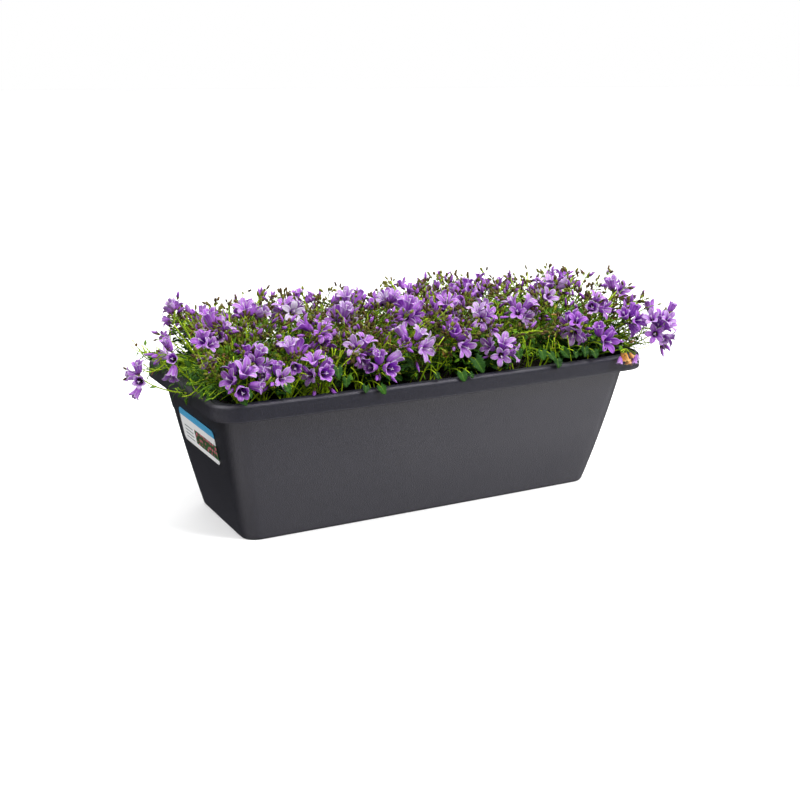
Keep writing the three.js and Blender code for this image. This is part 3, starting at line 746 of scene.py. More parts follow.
LOBES = 5
COLUMNS = 6  # faces across a lobe
TUBE_ROWS = 6
LOBE_ROWS = 7
AROUND = LOBES * COLUMNS
STEP = 2 * math.pi / LOBES
CUP_SIDES = 8
BUD_SIDES = 10


def corolla_sheet():
    """A corolla's faces, its closed skin, and each point's place along and across."""
    tube_count = (TUBE_ROWS + 1) * AROUND

    def at(lobe, row, column):
        if row == 0:
            return TUBE_ROWS * AROUND + (lobe * COLUMNS + column) % AROUND
        return tube_count + (lobe * LOBE_ROWS + row - 1) * (COLUMNS + 1) + column

    faces = ring_faces(TUBE_ROWS + 1, AROUND)
    for lobe in range(LOBES):
        for row in range(LOBE_ROWS):
            for column in range(COLUMNS):
                faces.append([at(lobe, row, column), at(lobe, row, column + 1),
                              at(lobe, row + 1, column + 1), at(lobe, row + 1, column)])
    down_tube = np.repeat(np.arange(TUBE_ROWS + 1) / TUBE_ROWS * 0.5, AROUND)
    down_lobe = np.repeat(0.5 + 0.5 * np.arange(1, LOBE_ROWS + 1) / LOBE_ROWS, COLUMNS + 1)
    round_tube = np.tile(2 * (np.arange(AROUND) % COLUMNS) / COLUMNS - 1, TUBE_ROWS + 1)
    over_lobe = np.tile(2 * np.arange(COLUMNS + 1) / COLUMNS - 1, LOBE_ROWS)
    along = np.concatenate([down_tube, np.tile(down_lobe, LOBES)])
    across = np.concatenate([round_tube, np.tile(over_lobe, LOBES)])
    return faces, closed_sheet(faces, len(along)), along, across


def sepal_sheet():
    faces = flipped(grid_faces(3, 1))
    return faces, closed_sheet(faces, 8), np.zeros(8), np.zeros(8)


COROLLA = corolla_sheet()
SEPAL = sepal_sheet()


def tube_row(t, size, mouth, valley):
    """One ring of a bell's tube, a little pleated."""
    radius = mix(1.8 * size, mouth, t**0.45)
    row = []
    for i in range(AROUND):
        u = 2 * (i % COLUMNS) / COLUMNS - 1
        angle = STEP * (i / COLUMNS - 0.5)
        pleated = radius * (1 + 0.07 * t * math.cos(math.pi * u))
        row.append((pleated * math.cos(angle), pleated * math.sin(angle), valley * t))
    return row


def lobe_rows(lobe, path, size, mouth, widening, skew):
    """The points of one lobe past the valleys, row after row along a path of radius and height."""
    outward, sideways = compass(STEP * lobe)
    rows = []
    for row in range(1, LOBE_ROWS + 1):
        v = row / LOBE_ROWS
        radius, height = path[row]
        half = mouth * max((1 - v) ** 0.8 * (1 + widening * v), 0.03)
        for column in range(COLUMNS + 1):
            u = 2 * column / COLUMNS - 1
            inward = mouth * (1 - math.cos(u * STEP / 2)) * (1 - v)
            side = half * math.sin(u * STEP / 2) + skew * v * v
            lift = 0.05 * half * u * u - 0.10 * size * math.cos(math.pi * u)
            rows.append(outward * (radius - inward) + sideways * side + vec(0, 0, height + lift))
    return rows


def corolla(size, length, openness, rng):
    """A bell's sheet, its foot at the origin and its mouth towards +Z, with the first lobe towards +X."""
    shape = {key: mix(*ends, openness) for key, ends in BELL.items()}
    mouth = size * shape["mouth"]
    valley = length * shape["valley"]
    points = []
    for row in range(TUBE_ROWS + 1):
        points += tube_row(row / TUBE_ROWS, size, mouth, valley)
    for lobe in range(LOBES):
        reach = size * shape["tip"] * rng.uniform(0.9, 1.04)
        skew = rng.uniform(-1.2, 1.2) * size
        bend = vec(mouth + shape["bend_out"] * (reach - mouth), valley + shape["bend_up"] * length)
        height = mix(0.92 * length, valley + 0.3 * length, openness) - rng.uniform(-0.06, 0.14) * length
        path = bezier(vec(mouth, valley), bend, vec(reach, height), LOBE_ROWS)
        points += lobe_rows(lobe, path, size, mouth, shape["widening"], skew)
    return np.array(points, float)


def add_calyx(skin, foot, turn, size, rng):
    """A cup with narrow sepals that stand out round the foot of a bell or a bud."""
    tone = rng.random()
    rings = [ring_of(CUP_SIDES, radius * size, height * size) for radius, height in CUP]
    loft(skin, np.vstack(rings) @ turn.T + foot, CUP_SIDES, CALYX_SLOT, tone=tone)
    for k in range(LOBES):
        add_sepal(skin, foot, turn, 2 * math.pi * (k + 0.5) / LOBES, size, tone, rng)


def add_sepal(skin, foot, turn, angle, size, tone, rng):
    outward, sideways = compass(angle)
    start = outward * 1.2 * size
    length = rng.uniform(4.5, 6.5) * size
    spread = rng.uniform(0.35, 0.9)
    sheet = []
    for t, half in SEPAL_WIDTHS:
        middle = start + outward * length * t * spread + vec(0, 0, length * t * (1 - 0.5 * t * spread))
        sheet += [middle - sideways * half * size, middle + sideways * half * size]
    add_sheet(skin, np.array(sheet), SEPAL, 0.25, turn, foot, CALYX_SLOT, tone)


def add_style(skin, foot, turn, size, length):
    """A pale rod that ends in three curled arms."""
    stalk = np.array([(0, 0, z) for z in np.linspace(0.5, length, 4)])
    add_tube(skin, stalk @ turn.T + foot, (0.35, 0.35, 0.45, 0.6), STYLE_SLOT, 0)
    top = vec(0, 0, length)
    for k in range(3):
        out, _ = compass(2 * math.pi * k / 3)
        arm = bezier(top, top + out * 0.9 + vec(0, 0, 1.6), top + out * 1.7 * size + vec(0, 0, 0.9), 3)
        add_tube(skin, arm @ turn.T + foot, (0.42, 0.4, 0.35, 0.2), STYLE_SLOT, 0, 4)


def add_bud(skin, foot, direction, length, radius, slot, tone, rng):
    """A closed bud: five shallow pleats that twist to a point. A ripe one has its calyx."""
    turn = upright(direction, across_of(direction))
    pleats = 1 + 0.14 * np.cos(np.arange(BUD_SIDES) * math.pi)
    rings = [ring_of(BUD_SIDES, radius * r * pleats, length * t, t * 0.7) for t, r in BUD]
    along = np.repeat([t for t, _ in BUD], BUD_SIDES)
    across = np.tile((0.0, 0.9), len(along) // 2)
    loft(skin, np.vstack(rings) @ turn.T + foot, BUD_SIDES, slot, along, across, tone)
    if slot == PETAL_SLOT:
        add_calyx(skin, foot, turn, radius / 1.9, rng)


def add_small_bud(skin, foot, direction, length, radius, rng):
    """An unripe bud in its five narrow sepals, which stand out a little at its tip."""
    turn = upright(direction, across_of(direction))
    points = np.cos(np.arange(BUD_SIDES) * math.pi)
    rings = []
    for t, r, ragged in SMALL_BUD:
        heights = length * (t + 0.25 * ragged * points)
        rings.append(ring_of(BUD_SIDES, radius * r * (1 + ragged * points), heights))
    along = np.repeat([t for t, _, _ in SMALL_BUD], BUD_SIDES)
    loft(skin, np.vstack(rings) @ turn.T + foot, BUD_SIDES, CALYX_SLOT, along, 0, rng.random())


def bunch_frames(node):
    """A bunch's hub and its blooms, read from the solid that the fine piece replaces."""
    bm = bmesh.new()
    bm.from_mesh(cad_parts[node].data)
    bmesh.ops.remove_doubles(bm, verts=bm.verts, dist=2e-5)
    place = {v: np.array(v.co) / MM for v in bm.verts}
    blooms, taken = [], set()
    for vert in bm.verts:
        near = [edge.other_vert(vert) for edge in vert.link_edges]
        tips = [v for v in near if len(v.link_faces) == 4]
        valleys = [v for v in near if len(v.link_faces) == 5]
        if len(near) == 10 and len(tips) == LOBES and len(valleys) == LOBES:
            taken.update([vert, *near])
            plane = sum(place[v] for v in tips) / LOBES
            blooms.append({
                "direction": unit(plane - place[vert]),
                "plane": plane,
                "size": sum(np.linalg.norm(place[v] - plane) for v in tips) / LOBES / BLOOM_RADIUS,
                "lobe": unit(place[tips[0]] - plane),
            })
    hub = [place[v] for v in bm.verts if v not in taken]
    centre = sum(hub) / len(hub)
    bm.free()
    return centre, blooms


def outward_at(point):
    beyond = max(0.0, abs(point[0]) - MOUND["end"]) * math.copysign(1, point[0])
    return unit(vec(beyond * 0.9, point[1] * 0.8, point[2] - MOUND["heart"]))


def grow_bunch(node, index):
    """Makes a bunch, and returns its hub, and its blooms' middles with their radii."""
    rng = random.Random(500 + index)
    centre, blooms = bunch_frames(node)
    wilted = node == "wilted_bunch"
    normal = outward_at(centre)
    root = centre - normal * 6
    look = {
        "shade": rng.random(),
        "scale": BLOOM_SCALE["rear" if centre[1] > REAR_BUNCHES else "front"],
        "opening": 0.3 if wilted or centre[0] < -TRAILING else 1,
        "wilted": wilted,
    }
    if wilted:
        blooms = [hanging(centre, rng) for _ in range(WILTED_BLOOMS)]
    elif centre[1] < 0 or centre[0] > END:
        add_companions(blooms, centre, normal, rng)
    if centre[0] < -END:
        gather(blooms, centre)
    skin = Skin()
    middles = []
    for turn, bloom in enumerate(blooms):
        slot = FRESH_SLOT if wilted and turn % 3 == 0 else PETAL_SLOT
        middles.append(add_flower(skin, root, bloom, look, slot, rng))
    for _ in range(0 if wilted else rng.choice((2, 3, 4, 5))):
        add_hub_bud(skin, root, centre, normal, blooms, rng)
    materials = (STEM, LEAF, CALYX, WILTED if wilted else LILAC, STYLE, LILAC)
    skin.piece(node + "_blooms", materials, "wilted_petals" if wilted else "petals", node)
    return centre, middles


def add_flower(skin, root, bloom, look, slot, rng):
    """A bell with its calyx, style and stalk. Returns its middle and radius."""
    direction, size = bloom["direction"], bloom["size"] * look["scale"]
    length = BLOOM_REACH * size * rng.uniform(0.82, 0.96)
    foot = bloom["plane"] - direction * length
    tone = mix(look["shade"], rng.random(), 0.6) + (0.35 if rng.random() < 0.1 else 0)
    turn = upright(direction, unit(bloom["lobe"] - direction * bloom["lobe"].dot(direction)))
    openness = rng.choice((rng.uniform(0.0, 0.3), rng.uniform(0.7, 1.0), rng.uniform(0.85, 1.05)))
    points = corolla(size, length, openness * look["opening"], rng)
    add_sheet(skin, points, COROLLA, 0.28, turn, foot, slot, tone)
    add_calyx(skin, foot, turn, size, rng)
    if not look["wilted"]:
        add_style(skin, foot, turn, size, length * 0.8)
    bend = mix(root, foot, 0.5) - direction * 2
    add_tube(skin, bezier(root, bend, foot - direction * 2, 4), 0.5, STEM_SLOT, rng.random())
    return foot + direction * 0.6 * length, 8.5 * size


def bloom_at(plane, direction, size):
    return {"direction": direction, "plane": plane, "size": size, "lobe": across_of(direction)}


def hanging(centre, rng):
    """A wilted bloom: small, shut, and hanging down in front of the rim."""
    size = rng.uniform(0.36, 0.58)
    direction = unit(vec(rng.uniform(-0.9, 0.9), rng.uniform(-0.4, 0.05), -1))
    foot = centre + vec(rng.uniform(-20, 3), rng.uniform(-10, -6), rng.uniform(-11, 0))
    return bloom_at(foot + direction * BLOOM_REACH * size, direction, size)


def gather(blooms, centre):
    """Draws the blooms at the left end in over their stem, as small ones."""
    shift = vec(6, 0, 0) if centre[1] > 0 else vec(0, 0, 0)
    if centre[0] < -RIM_END:
        shift = vec(5, 0, -7)
    for bloom in blooms:
        bloom["size"] *= 0.85
        bloom["plane"][0] = centre[0] + 0.55 * (bloom["plane"][0] - centre[0])
        bloom["plane"] += shift


def add_companions(blooms, centre, normal, rng):
    """More blooms in the gaps of a bunch. The trailing one at the right becomes a full cluster."""
    plan = COMPANIONS[sum(centre[0] > limit for limit in (END, TRAILING))]
    lean = vec(-0.7, 0, 0.9) if centre[0] > TRAILING else normal
    for _ in range(plan["tries"]):
        direction = unit(any_direction(rng) + lean)
        size = rng.uniform(0.8, 1.0)
        plane = centre + direction * (BLOOM_REACH * size + rng.uniform(1, plan["out"]))
        apart = all(np.linalg.norm(plane - bloom["plane"]) > plan["apart"] for bloom in blooms)
        if apart and plane[2] < TOP - 10 and clear_of_box(plane, 12) and direction.dot(normal) > -0.2:
            blooms.append(bloom_at(plane, direction, size))
        if len(blooms) > plan["most"]:
            return


def add_hub_bud(skin, root, centre, normal, blooms, rng):
    """A bud on a thin stalk, in a gap between the blooms."""
    shortened = 0.55 if centre[0] < -RIM_END else 1
    ripe = 0 if centre[0] < -RIM_END - 30 else 0.55
    for _ in range(12):
        direction = unit(any_direction(rng) + normal * 0.9)
        if any(direction.dot(bloom["direction"]) >= 0.80 for bloom in blooms):
            continue
        reach = rng.uniform(9, 19) * shortened
        end = centre + direction * reach
        if end[2] < HEIGHT + 3 and abs(end[1]) > 96:
            continue
        add_tube(skin, bezier(root, centre, end, 4), 0.4, STEM_SLOT, rng.random() * 0.6)
        if rng.random() < ripe:
            length, radius = rng.uniform(8, 13), rng.uniform(1.3, 1.9)
            add_bud(skin, end, direction, length, radius, PETAL_SLOT, rng.random() * 0.5, rng)
        else:
            length, radius = rng.uniform(3.5, 5.5), rng.uniform(1.0, 1.5)
            add_bud(skin, end, direction, length, radius, CALYX_SLOT, rng.random(), rng)
        return


# ---------- leaves and stems ----------

LEAF_ROWS = 12


def sheet_of(rows, columns):
    """A grid of faces, its closed skin, and each point's place along and across."""
    faces = grid_faces(rows, columns)
    t = np.repeat(np.linspace(0, 1, rows + 1), columns + 1)
    u = np.tile(np.linspace(-1, 1, columns + 1), rows + 1)
    return faces, closed_sheet(faces, len(t)), t, u


LARGE_LEAF = sheet_of(LEAF_ROWS, 6)
SMALL_LEAF = sheet_of(4, 2)


def heart_points(length, width, rng):
    """A toothed heart-shaped sheet along +X, facing +Z. Its lobes reach back past the stalk."""
    _, _, t, u = LARGE_LEAF
    aside = np.abs(u)
    tooth = np.where((np.round(t * LEAF_ROWS) % 2 == 1) & (aside > 0.9), 1.12, 1 - 0.22 * (aside > 0.9))
    profile = np.sin(np.pi * np.clip(t * 0.9 + 0.09, 0, 1) ** 0.8) ** 0.7
    half = np.maximum(width / 2 * profile * tooth, 0.1)
    back = 0.30 * aside**1.6 * (1 - t) ** 1.5
    fold, curl, wave = rng.uniform(0.05, 0.35), rng.uniform(0, 0.3), rng.uniform(0.3, 0.9)
    z = fold * half * aside - curl * length * t**2 + wave * aside * np.sin(t * 13 + rng.uniform(0, 6))
    return np.column_stack([length * (t - back), half * u, z])


def small_points(length, width, rng):
    """A small pointed oval sheet along +X, facing +Z."""
    _, _, t, u = SMALL_LEAF
    half = np.maximum(width / 2 * np.sin(np.pi * t**0.7) ** 0.8, 0.12)
    z = rng.uniform(0.1, 0.5) * half * np.abs(u) - rng.uniform(-0.1, 0.4) * length * t**2
    return np.column_stack([length * t, half * u, z])


def add_leaf(skin, root, direction, face, length, ratio, tone, rng, large=False):
    """A leaf that is `ratio` times as wide as it is long."""
    sheet = LARGE_LEAF if large else SMALL_LEAF
    points = (heart_points if large else small_points)(length, length * ratio, rng)
    add_sheet(skin, points, sheet, 0.3, frame_of(direction, face), root, LEAF_SLOT, tone)


def mound_point(along, around):
    """A point of the mound's surface, by an angle in degrees from its front to its back."""
    angle = math.radians(around)
    side = -math.copysign(1, math.cos(angle))
    across = side * MOUND["reach"] * abs(math.cos(angle)) ** MOUND["roundness"]
    return vec(along, across, MOUND["foot"] + MOUND["rise"] * math.sin(angle) ** MOUND["roundness"])


class Room:
    """Where the blooms are, so that leaves keep clear of them."""

    def __init__(self, middles):
        self.tree = kdtree.KDTree(len(middles))
        for index, (middle, _) in enumerate(middles):
            self.tree.insert(middle, index)
        self.tree.balance()
        self.radii = [radius for _, radius in middles]

    def free(self, point, radius):
        near = self.tree.find_range(point, radius + 10)
        return all(distance > radius + self.radii[index] * 0.8 for _, index, distance in near)


def clear_of_box(point, margin=1.5):
    """Whether a point is over the soil in the opening, or else above the rim or beyond it."""
    x, y, z = point
    if abs(x) < OPENING["along"] and abs(y) < OPENING["across"]:
        return z > soil_height(x, y) - 3
    beyond = abs(x) > RIM_END + margin or abs(y) > RIM["depth"] / 2 + 5 + margin
    return beyond or z > HEIGHT + margin


def clear_path(start, bend, end, steps, margin=1.5):
    """The path of a stem, or None if the box is in its way."""
    path = bezier(start, bend, end, steps)
    return path if all(clear_of_box(point, margin) for point in path) else None


def add_stem_leaves(skin, path, count, sizes, room, rng, tone, first=0.2):
    """Small leaves, one after another round a stem, over its upper part."""
    turn = rng.uniform(0, 2 * math.pi)
    for k in range(count):
        t = mix(first, 0.99, (k + rng.random()) / count)
        place = t * (len(path) - 1)
        low = min(int(place), len(path) - 2)
        root = mix(path[low], path[low + 1], place - low)
        tangent = unit(path[low + 1] - path[low])
        side = across_of(tangent)
        turn += 2.4
        out = side * math.cos(turn) + np.cross(tangent, side) * math.sin(turn)
        direction = unit(out + tangent * rng.uniform(0.1, 0.9))
        length = rng.uniform(*sizes)
        start = root + direction * rng.uniform(0.8, 3)
        tip = start + direction * length
        if not (room.free(start + direction * length * 0.5, length * 0.2) and clear_of_box(tip)):
            continue
        add_tube(skin, np.array([root, start + direction]), (0.3, 0.25), STEM_SLOT, tone, 3)
        upward = np.cross(direction, np.cross(unit(tangent + vec(0, 0, 0.7)), direction))
        face = unit(upward + any_direction(rng) * 0.4)
        ratio = rng.choice((rng.uniform(0.12, 0.22), rng.uniform(0.14, 0.3), rng.uniform(0.45, 0.8)))
        # leaves lower on the stem are darker: painted shade inside the mound, over a random tone
        shade = WITHERED if rng.random() < 0.05 else rng.uniform(0, 0.42) + 0.5 * t
        add_leaf(skin, start, direction, face, length, ratio, shade, rng)


def spread_of(plant, around, rng):
    """A place along the box over a plant. The end plants sprawl, the left one only low at the front."""
    outer = 0
    if abs(plant) == PLANTS[-1]:
        outer = SPRAWL if plant > 0 or around < 45 else HELD_BACK
    along = rng.uniform(-PLANT_HALF - 6, PLANT_HALF + 6 + outer)
    if plant == PLANTS[-1] and rng.random() < 0.25:
        along = rng.uniform(PLANT_HALF - 10, PLANT_HALF + 12 + outer)
    return plant + along * math.copysign(1, plant)


def nearest_plant(x):
    return min(PLANTS, key=lambda plant: abs(plant - x))


def grow_plant(number, centres, room):
    """One plant's stems and leaves: what rises into the mound, and what grows low over soil and rim."""
    rng = random.Random(900 + number)
    plant = PLANTS[number]
    high, low = Skin(), Skin()
    for centre in centres:
        add_bearing_stem(high, plant, centre, room, rng)
    kinds = ((high, SHOOTS, add_shoot), (low, BASE_LEAVES, add_base_leaf), (low, RUNNERS, add_runner),
             (low, DRAPES, add_drape))
    for skin, counts, add in kinds:
        for _ in range(counts[number]):
            add(skin, plant, room, rng)
    for x, z, length in RIM_LEAVES:
        if nearest_plant(x) == plant:
            add_rim_leaf(low, x, z, length, rng)
    for y, z, length in END_LEAVES if number == 0 else ():
        add_end_leaf(low, y, z, length, rng)
    add_crown(low, plant, rng)
    name = f"plant_{number + 1}"
    high.piece(name + "_greenery", GREENS, "foliage", name)
    low.piece(name + "_undergrowth", GREENS, "foliage", name)


def grow_sprays(number):
    """The wiry stems of one plant, with its unopened buds."""
    rng = random.Random(700 + number)
    skin = Skin()
    for _ in range(SPRAYS):
        add_spray(skin, PLANTS[number], rng)
    skin.piece(f"plant_{number + 1}_sprays", GREENS, "foliage", f"plant_{number + 1}")


def on_soil(x, y, sunk=1.0):
    return vec(x, y, soil_height(x, y) - sunk)


def stem_start(plant, end, rng):
    """A place on the soil under a stem's own side of the plant."""
    x = plant + max(-CORE["along"], min(CORE["along"], (end[0] - plant) * 0.6)) * rng.uniform(0.4, 1)
    y = max(-CORE["across"], min(CORE["across"], end[1] * 0.7)) * rng.uniform(0.5, 1)
    return on_soil(x, y, 1.5)


def add_bearing_stem(skin, plant, centre, room, rng):
    """The stem that carries a bunch of blooms."""
    normal = outward_at(centre)
    end = centre - normal * 5.5
    bend = end - normal * 24
    bend[2] -= min(20.0, max(0.0, abs(end[0]) - RIM_END) * 0.7)
    path = bezier(stem_start(plant, end, rng), bend, end, 12)
    tone = rng.uniform(0.5, 1)
    add_tube(skin, path, np.linspace(1.0, 0.6, 13), STEM_SLOT, tone, 6)
    add_stem_leaves(skin, path, 8, (5, 10), room, rng, tone)


def add_shoot(skin, plant, room, rng):
    """A thin leafy stem from the soil into the mound or to its surface."""
    around = rng.uniform(6, 174)
    tip = mound_point(spread_of(plant, around, rng), around)
    end = tip + outward_at(tip) * rng.uniform(-26, 5)
    start = stem_start(plant, end, rng)
    path = clear_path(start, bend_over_rim(start, end, rng), end, 8)
    if path is None:
        return
    tone = rng.uniform(0.2, 1)
    add_tube(skin, path, np.linspace(0.65, 0.35, 9), STEM_SLOT, tone, 4)
    add_stem_leaves(skin, path, rng.choice((8, 9, 10, 12)), (4, 9), room, rng, tone)


def bend_over_rim(start, end, rng):
    """The bend of a stem, high enough for one that ends past the opening to clear the rim."""
    bend = mix(start, end, 0.5) + vec(0, 0, rng.uniform(4, 18)) + any_direction(rng) * 6
    if abs(end[0]) > 226 or abs(end[1]) > 96:
        bend[2] = max(bend[2], HEIGHT + rng.uniform(18, 30))
    return bend


def add_drape(skin, plant, room, rng):
    """A stem that lies over the rim at an end of the box, dips, and rises again."""
    way = math.copysign(1, plant)
    shape = DRAPE[way]
    y = rng.uniform(*rng.choice(shape["places"]))
    start = on_soil(plant + way * rng.uniform(5, 40), y * 0.7)
    rim = vec(way * (RIM_END - 5), y, HEIGHT + rng.uniform(1.5, 18))
    end = vec(way * rng.uniform(*shape["reach"]), y + rng.uniform(-30, 20), rng.uniform(*shape["height"]))
    rise = bezier(start, mix(start, rim, 0.5) + vec(0, 0, rng.uniform(10, 20)), rim, 7)
    dip = bezier(rim, mix(rim, end, 0.55) - vec(0, 0, rng.uniform(5, 14)), end, 7)
    path = np.vstack([rise, dip[1:]])
    tone = rng.uniform(0.3, 0.9)
    add_tube(skin, path, np.linspace(0.85, 0.4, 15), STEM_SLOT, tone, 5)
    add_stem_leaves(skin, path, 7, (4, 8), room, rng, tone, 0.15)


def add_runner(skin, plant, room, rng):
    """A bright bare stem that rises in an arc near the front of the box."""
    x = plant + PLANT_HALF * rng.choice((-0.9, -0.55, -0.2, 0.15, 0.5, 0.85)) + rng.uniform(-3, 3)
    start = on_soil(x, rng.uniform(-94, -80))
    end = vec(x + rng.uniform(-30, 30), rng.uniform(-114, -76), rng.uniform(158, 198))
    bend = mix(start, end, 0.55) + vec(rng.uniform(-8, 8), -6, rng.uniform(2, 12))
    path = clear_path(start, bend, end, 9, 2)
    if path is None:
        return
    add_tube(skin, path, np.linspace(0.75, 0.4, 10), STEM_SLOT, rng.uniform(0.85, 1.1), 5)
    add_stem_leaves(skin, path, 3, (3, 7), room, rng, 0.95, 0.5)


def add_spray(skin, plant, rng):
    """A wiry stem that ends in a loose spray of buds."""
    around = rng.uniform(24, 160)
    tip = mound_point(spread_of(plant, around, rng), around)
    end = tip + outward_at(tip) * rng.choice((rng.uniform(-6, 8), rng.uniform(0, 14), rng.uniform(8, 24)))
    end[2] = min(end[2], TOP - rng.uniform(6, 12))
    start = stem_start(plant, end, rng)
    path = clear_path(start, bend_over_rim(start, end, rng), end, 8)
    if path is None:
        return
    tone = rng.choice((rng.uniform(0, 0.3), rng.uniform(0.3, 1)))
    add_tube(skin, path, np.linspace(0.75, 0.45, 9), STEM_SLOT, tone, 4)
    for _ in range(rng.randint(5, 11)):
        add_twig(skin, path, tone, rng)


def add_twig(skin, path, tone, rng):
    """A twig off the upper part of a spray, with a bud at its end."""
    base = path[rng.choice((4, 5, 6, 7, 8, 8))]
    direction = unit(any_direction(rng) * 0.9 + unit(path[-1] - path[-3]))
    end = base + direction * rng.uniform(3, 8)
    if end[2] > TOP - 5:
        return
    bend = mix(base, end, 0.5) + any_direction(rng) * 0.5
    add_tube(skin, np.array([base, bend, end]), 0.36, STEM_SLOT, tone, 4)
    if rng.random() < 0.14 and end[2] < TOP - 12:
        length, radius = rng.uniform(7, 11), rng.uniform(1.2, 1.8)
        add_bud(skin, end, direction, length, radius, PETAL_SLOT, rng.random() * 0.4, rng)
    else:
        add_small_bud(skin, end, direction, rng.uniform(3.4, 6.0), rng.uniform(1.0, 1.7), rng)


def add_base_leaf(skin, plant, room, rng):
    """A larger heart-shaped leaf low on the plant, on its own stalk."""
    angle = rng.choice((rng.uniform(0, 2 * math.pi), rng.uniform(-2.4, -0.7), rng.uniform(-2.3, -0.8)))
    spread = rng.uniform(0.5, 1.05)
    x, y = plant + 54 * spread * math.cos(angle), 92 * spread * math.sin(angle)
    over_rim = HEIGHT + 3 if abs(y) > 80 else 0
    root = vec(x, y, max(soil_height(x, y) + rng.uniform(5, 30), over_rim))
    length = rng.uniform(8, 15)
    out = vec(math.cos(angle) * 0.6, math.sin(angle), rng.uniform(-0.3, 0.4))
    direction = unit(out + any_direction(rng) * 0.3)
    middle, tip = root + direction * length / 2, root + direction * length
    if not (room.free(middle, length * 0.3) and clear_of_box(tip)):
        return
    start = vec(mix(plant, x, 0.6), y * 0.6, SOIL_MIDDLE)
    tone = rng.uniform(0.3, 0.9)
    bend = mix(start, root, 0.5) + vec(0, 0, 10)
    add_tube(skin, bezier(start, bend, root + direction, 5), 0.5, STEM_SLOT, tone)
    face = unit(vec(0, -0.3, 1) + any_direction(rng) * 0.6)
    add_leaf(skin, root, direction, face, length, rng.uniform(0.9, 1.1), rng.random() * 0.4, rng, True)


def add_stalk(skin, start, bend, end, rng):
    add_tube(skin, bezier(start, bend, end, 8), 0.5, STEM_SLOT, rng.uniform(0.5, 1))


def add_rim_leaf(skin, x, z, length, rng):
    """A dark toothed leaf at the front rim. The low ones hang out over it."""
    direction = unit(vec(rng.uniform(-0.4, 0.4), -0.6, -0.65))
    y = -RIM["depth"] / 2 - 1.5 - max(0.0, 160 - z)
    root = vec(x, y, z) - direction * length / 2
    start = vec(x + rng.uniform(-12, 12), -72, soil_height(x, -72))
    add_stalk(skin, start, vec(x, -98, z + 10), root + direction, rng)
    face = unit(vec(rng.uniform(-0.5, 0.2), -0.8, rng.uniform(0.3, 0.8)))
    add_leaf(skin, root, direction, face, length, rng.uniform(0.85, 1.1), rng.uniform(0.0, 0.3), rng, True)


def add_end_leaf(skin, y, z, length, rng):
    """A dark toothed leaf over the rim at the left end."""
    direction = unit(vec(-0.8, rng.uniform(-0.5, 0.3), -0.3))
    root = vec(9 - RIM_END, y, z) - direction * length / 2
    start = vec(-205, y * 0.8 + rng.uniform(-8, 8), soil_height(-205, y * 0.8))
    add_stalk(skin, start, vec(-224, y, z + 12), root + direction, rng)
    face = unit(vec(-0.4, -0.6, rng.uniform(0.5, 0.9)))
    add_leaf(skin, root, direction, face, length, rng.uniform(0.85, 1.1), rng.uniform(0.0, 0.35), rng, True)


def add_crown(skin, plant, rng):
    """The short woody root at the plant's middle."""
    path = np.array([(plant, 0, z) for z in (130, 140, 148, 154, 160)], float)
    path[:, :2] += [[rng.uniform(-1, 1), rng.uniform(-1, 1)] for _ in path]
    add_tube(skin, path, (7, 8.5, 8, 6, 3), STEM_SLOT, 0.05, 12)


# ---------- floor, light and camera ----------


def floor():
    """A plain pale floor. It takes shadows, and throws no light back up at the dark box."""
    n = Material("pale_floor")
    half = FLOOR["half"]
    corners = [(-half, -half, 0), (half, -half, 0), (half, half, 0), (-half, half, 0)]
    mesh = bpy.data.meshes.new("floor")
    mesh.from_pydata(corners, [], [[0, 1, 2, 3]])
    mesh.materials.append(n.finish(FLOOR["colour"], FLOOR["roughness"], Specular_IOR_Level=0.0))
    obj = new_object("floor", mesh)
    obj.visible_diffuse = False
    obj.visible_glossy = False


def aim(obj, ahead):
    """Turns a lamp or a camera to look along a direction."""
    obj.rotation_mode = "QUATERNION"
    obj.rotation_quaternion = ahead.to_track_quat("-Z", "Y")


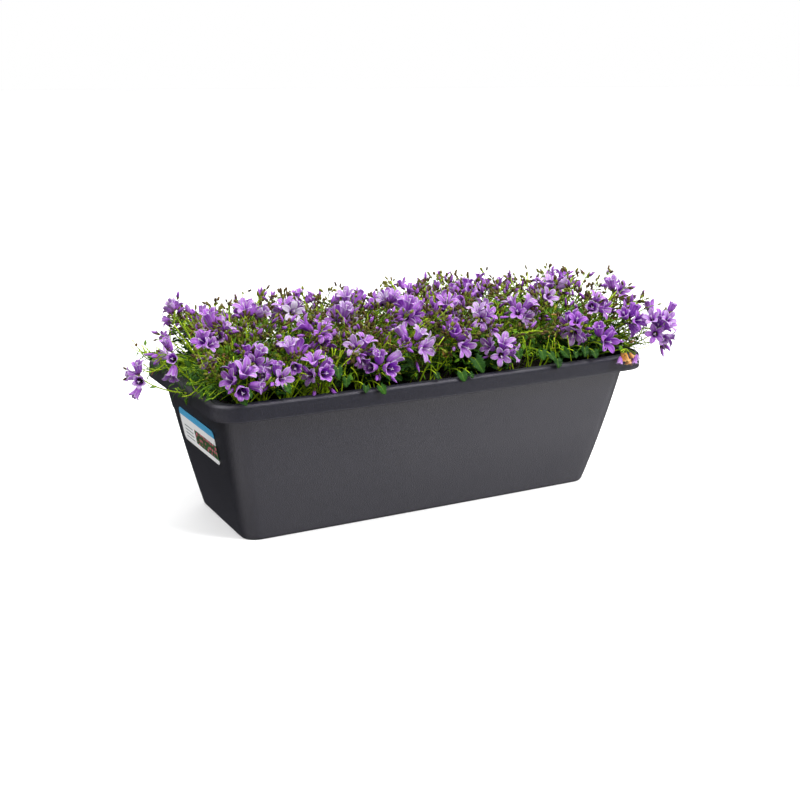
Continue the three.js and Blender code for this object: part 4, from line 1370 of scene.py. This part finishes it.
def key_lamp():
    """A soft lamp from the front right. The plastic's reflections come from the world alone."""
    data = bpy.data.lights.new("key", "AREA")
    data.shape = "RECTANGLE"
    data.size, data.size_y = KEY["size"]
    data.energy = KEY["power"]
    lamp = new_object("key", data)
    lamp.location = KEY["place"]
    lamp.visible_glossy = False
    aim(lamp, Vector(KEY["aim"]) - Vector(KEY["place"]))


def studio_world():
    """White to look at. As light it is dim all round, and bright overhead and in a few broad patches."""
    world = bpy.data.worlds.new("studio")
    bpy.context.scene.world = world
    world.use_nodes = True
    n = Nodes(world.node_tree)
    where = n.new("ShaderNodeTexCoord").outputs["Generated"]
    strength = WORLD["dim"]
    for direction, power, begins in WORLD["bright"]:
        dot = n.new("ShaderNodeVectorMath", {"operation": "DOT_PRODUCT"})
        n.put(dot.inputs[0], where)
        n.put(dot.inputs[1], Vector(direction).normalized())
        values = {"Value": dot.outputs["Value"], "From_Min": begins, "To_Max": power}
        patch = n.new("ShaderNodeMapRange", {"interpolation_type": "SMOOTHSTEP"}, **values)
        strength = n.math("ADD", patch.outputs["Result"], strength)
    to_camera = n.new("ShaderNodeLightPath").outputs["Is Camera Ray"]
    seen = n.new("ShaderNodeMix", Factor=to_camera, A=strength, B=1.0)
    background = n.tree.nodes["Background"]
    n.put(background.inputs["Color"], WHITE)
    n.put(background.inputs["Strength"], seen.outputs["Result"])


def camera():
    yaw, pitch = math.radians(CAMERA["yaw"]), math.radians(CAMERA["pitch"])
    back = Vector((-math.sin(yaw) * math.cos(pitch), -math.cos(yaw) * math.cos(pitch), math.sin(pitch)))
    data = bpy.data.cameras.new("camera")
    data.lens = CAMERA["lens"]
    data.sensor_width = 36
    obj = new_object("camera", data)
    obj.location = Vector(CAMERA_AIM) + back * CAMERA["distance"]
    aim(obj, -back)
    bpy.context.scene.camera = obj


# ---------- the whole ----------


def planting():
    names = sorted(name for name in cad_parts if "bunch" in name)
    grown = [grow_bunch(name, index) for index, name in enumerate(names)]
    room = Room([middle for _, middles in grown for middle in middles])
    for number, plant in enumerate(PLANTS):
        centres = [centre for centre, _ in grown if nearest_plant(centre[0]) == plant]
        grow_plant(number, centres, room)
        grow_sprays(number)


floor()
studio_world()
key_lamp()
bpy.context.scene.view_settings.view_transform = "Standard"
camera()
window_box()
soil()
label()
planting()
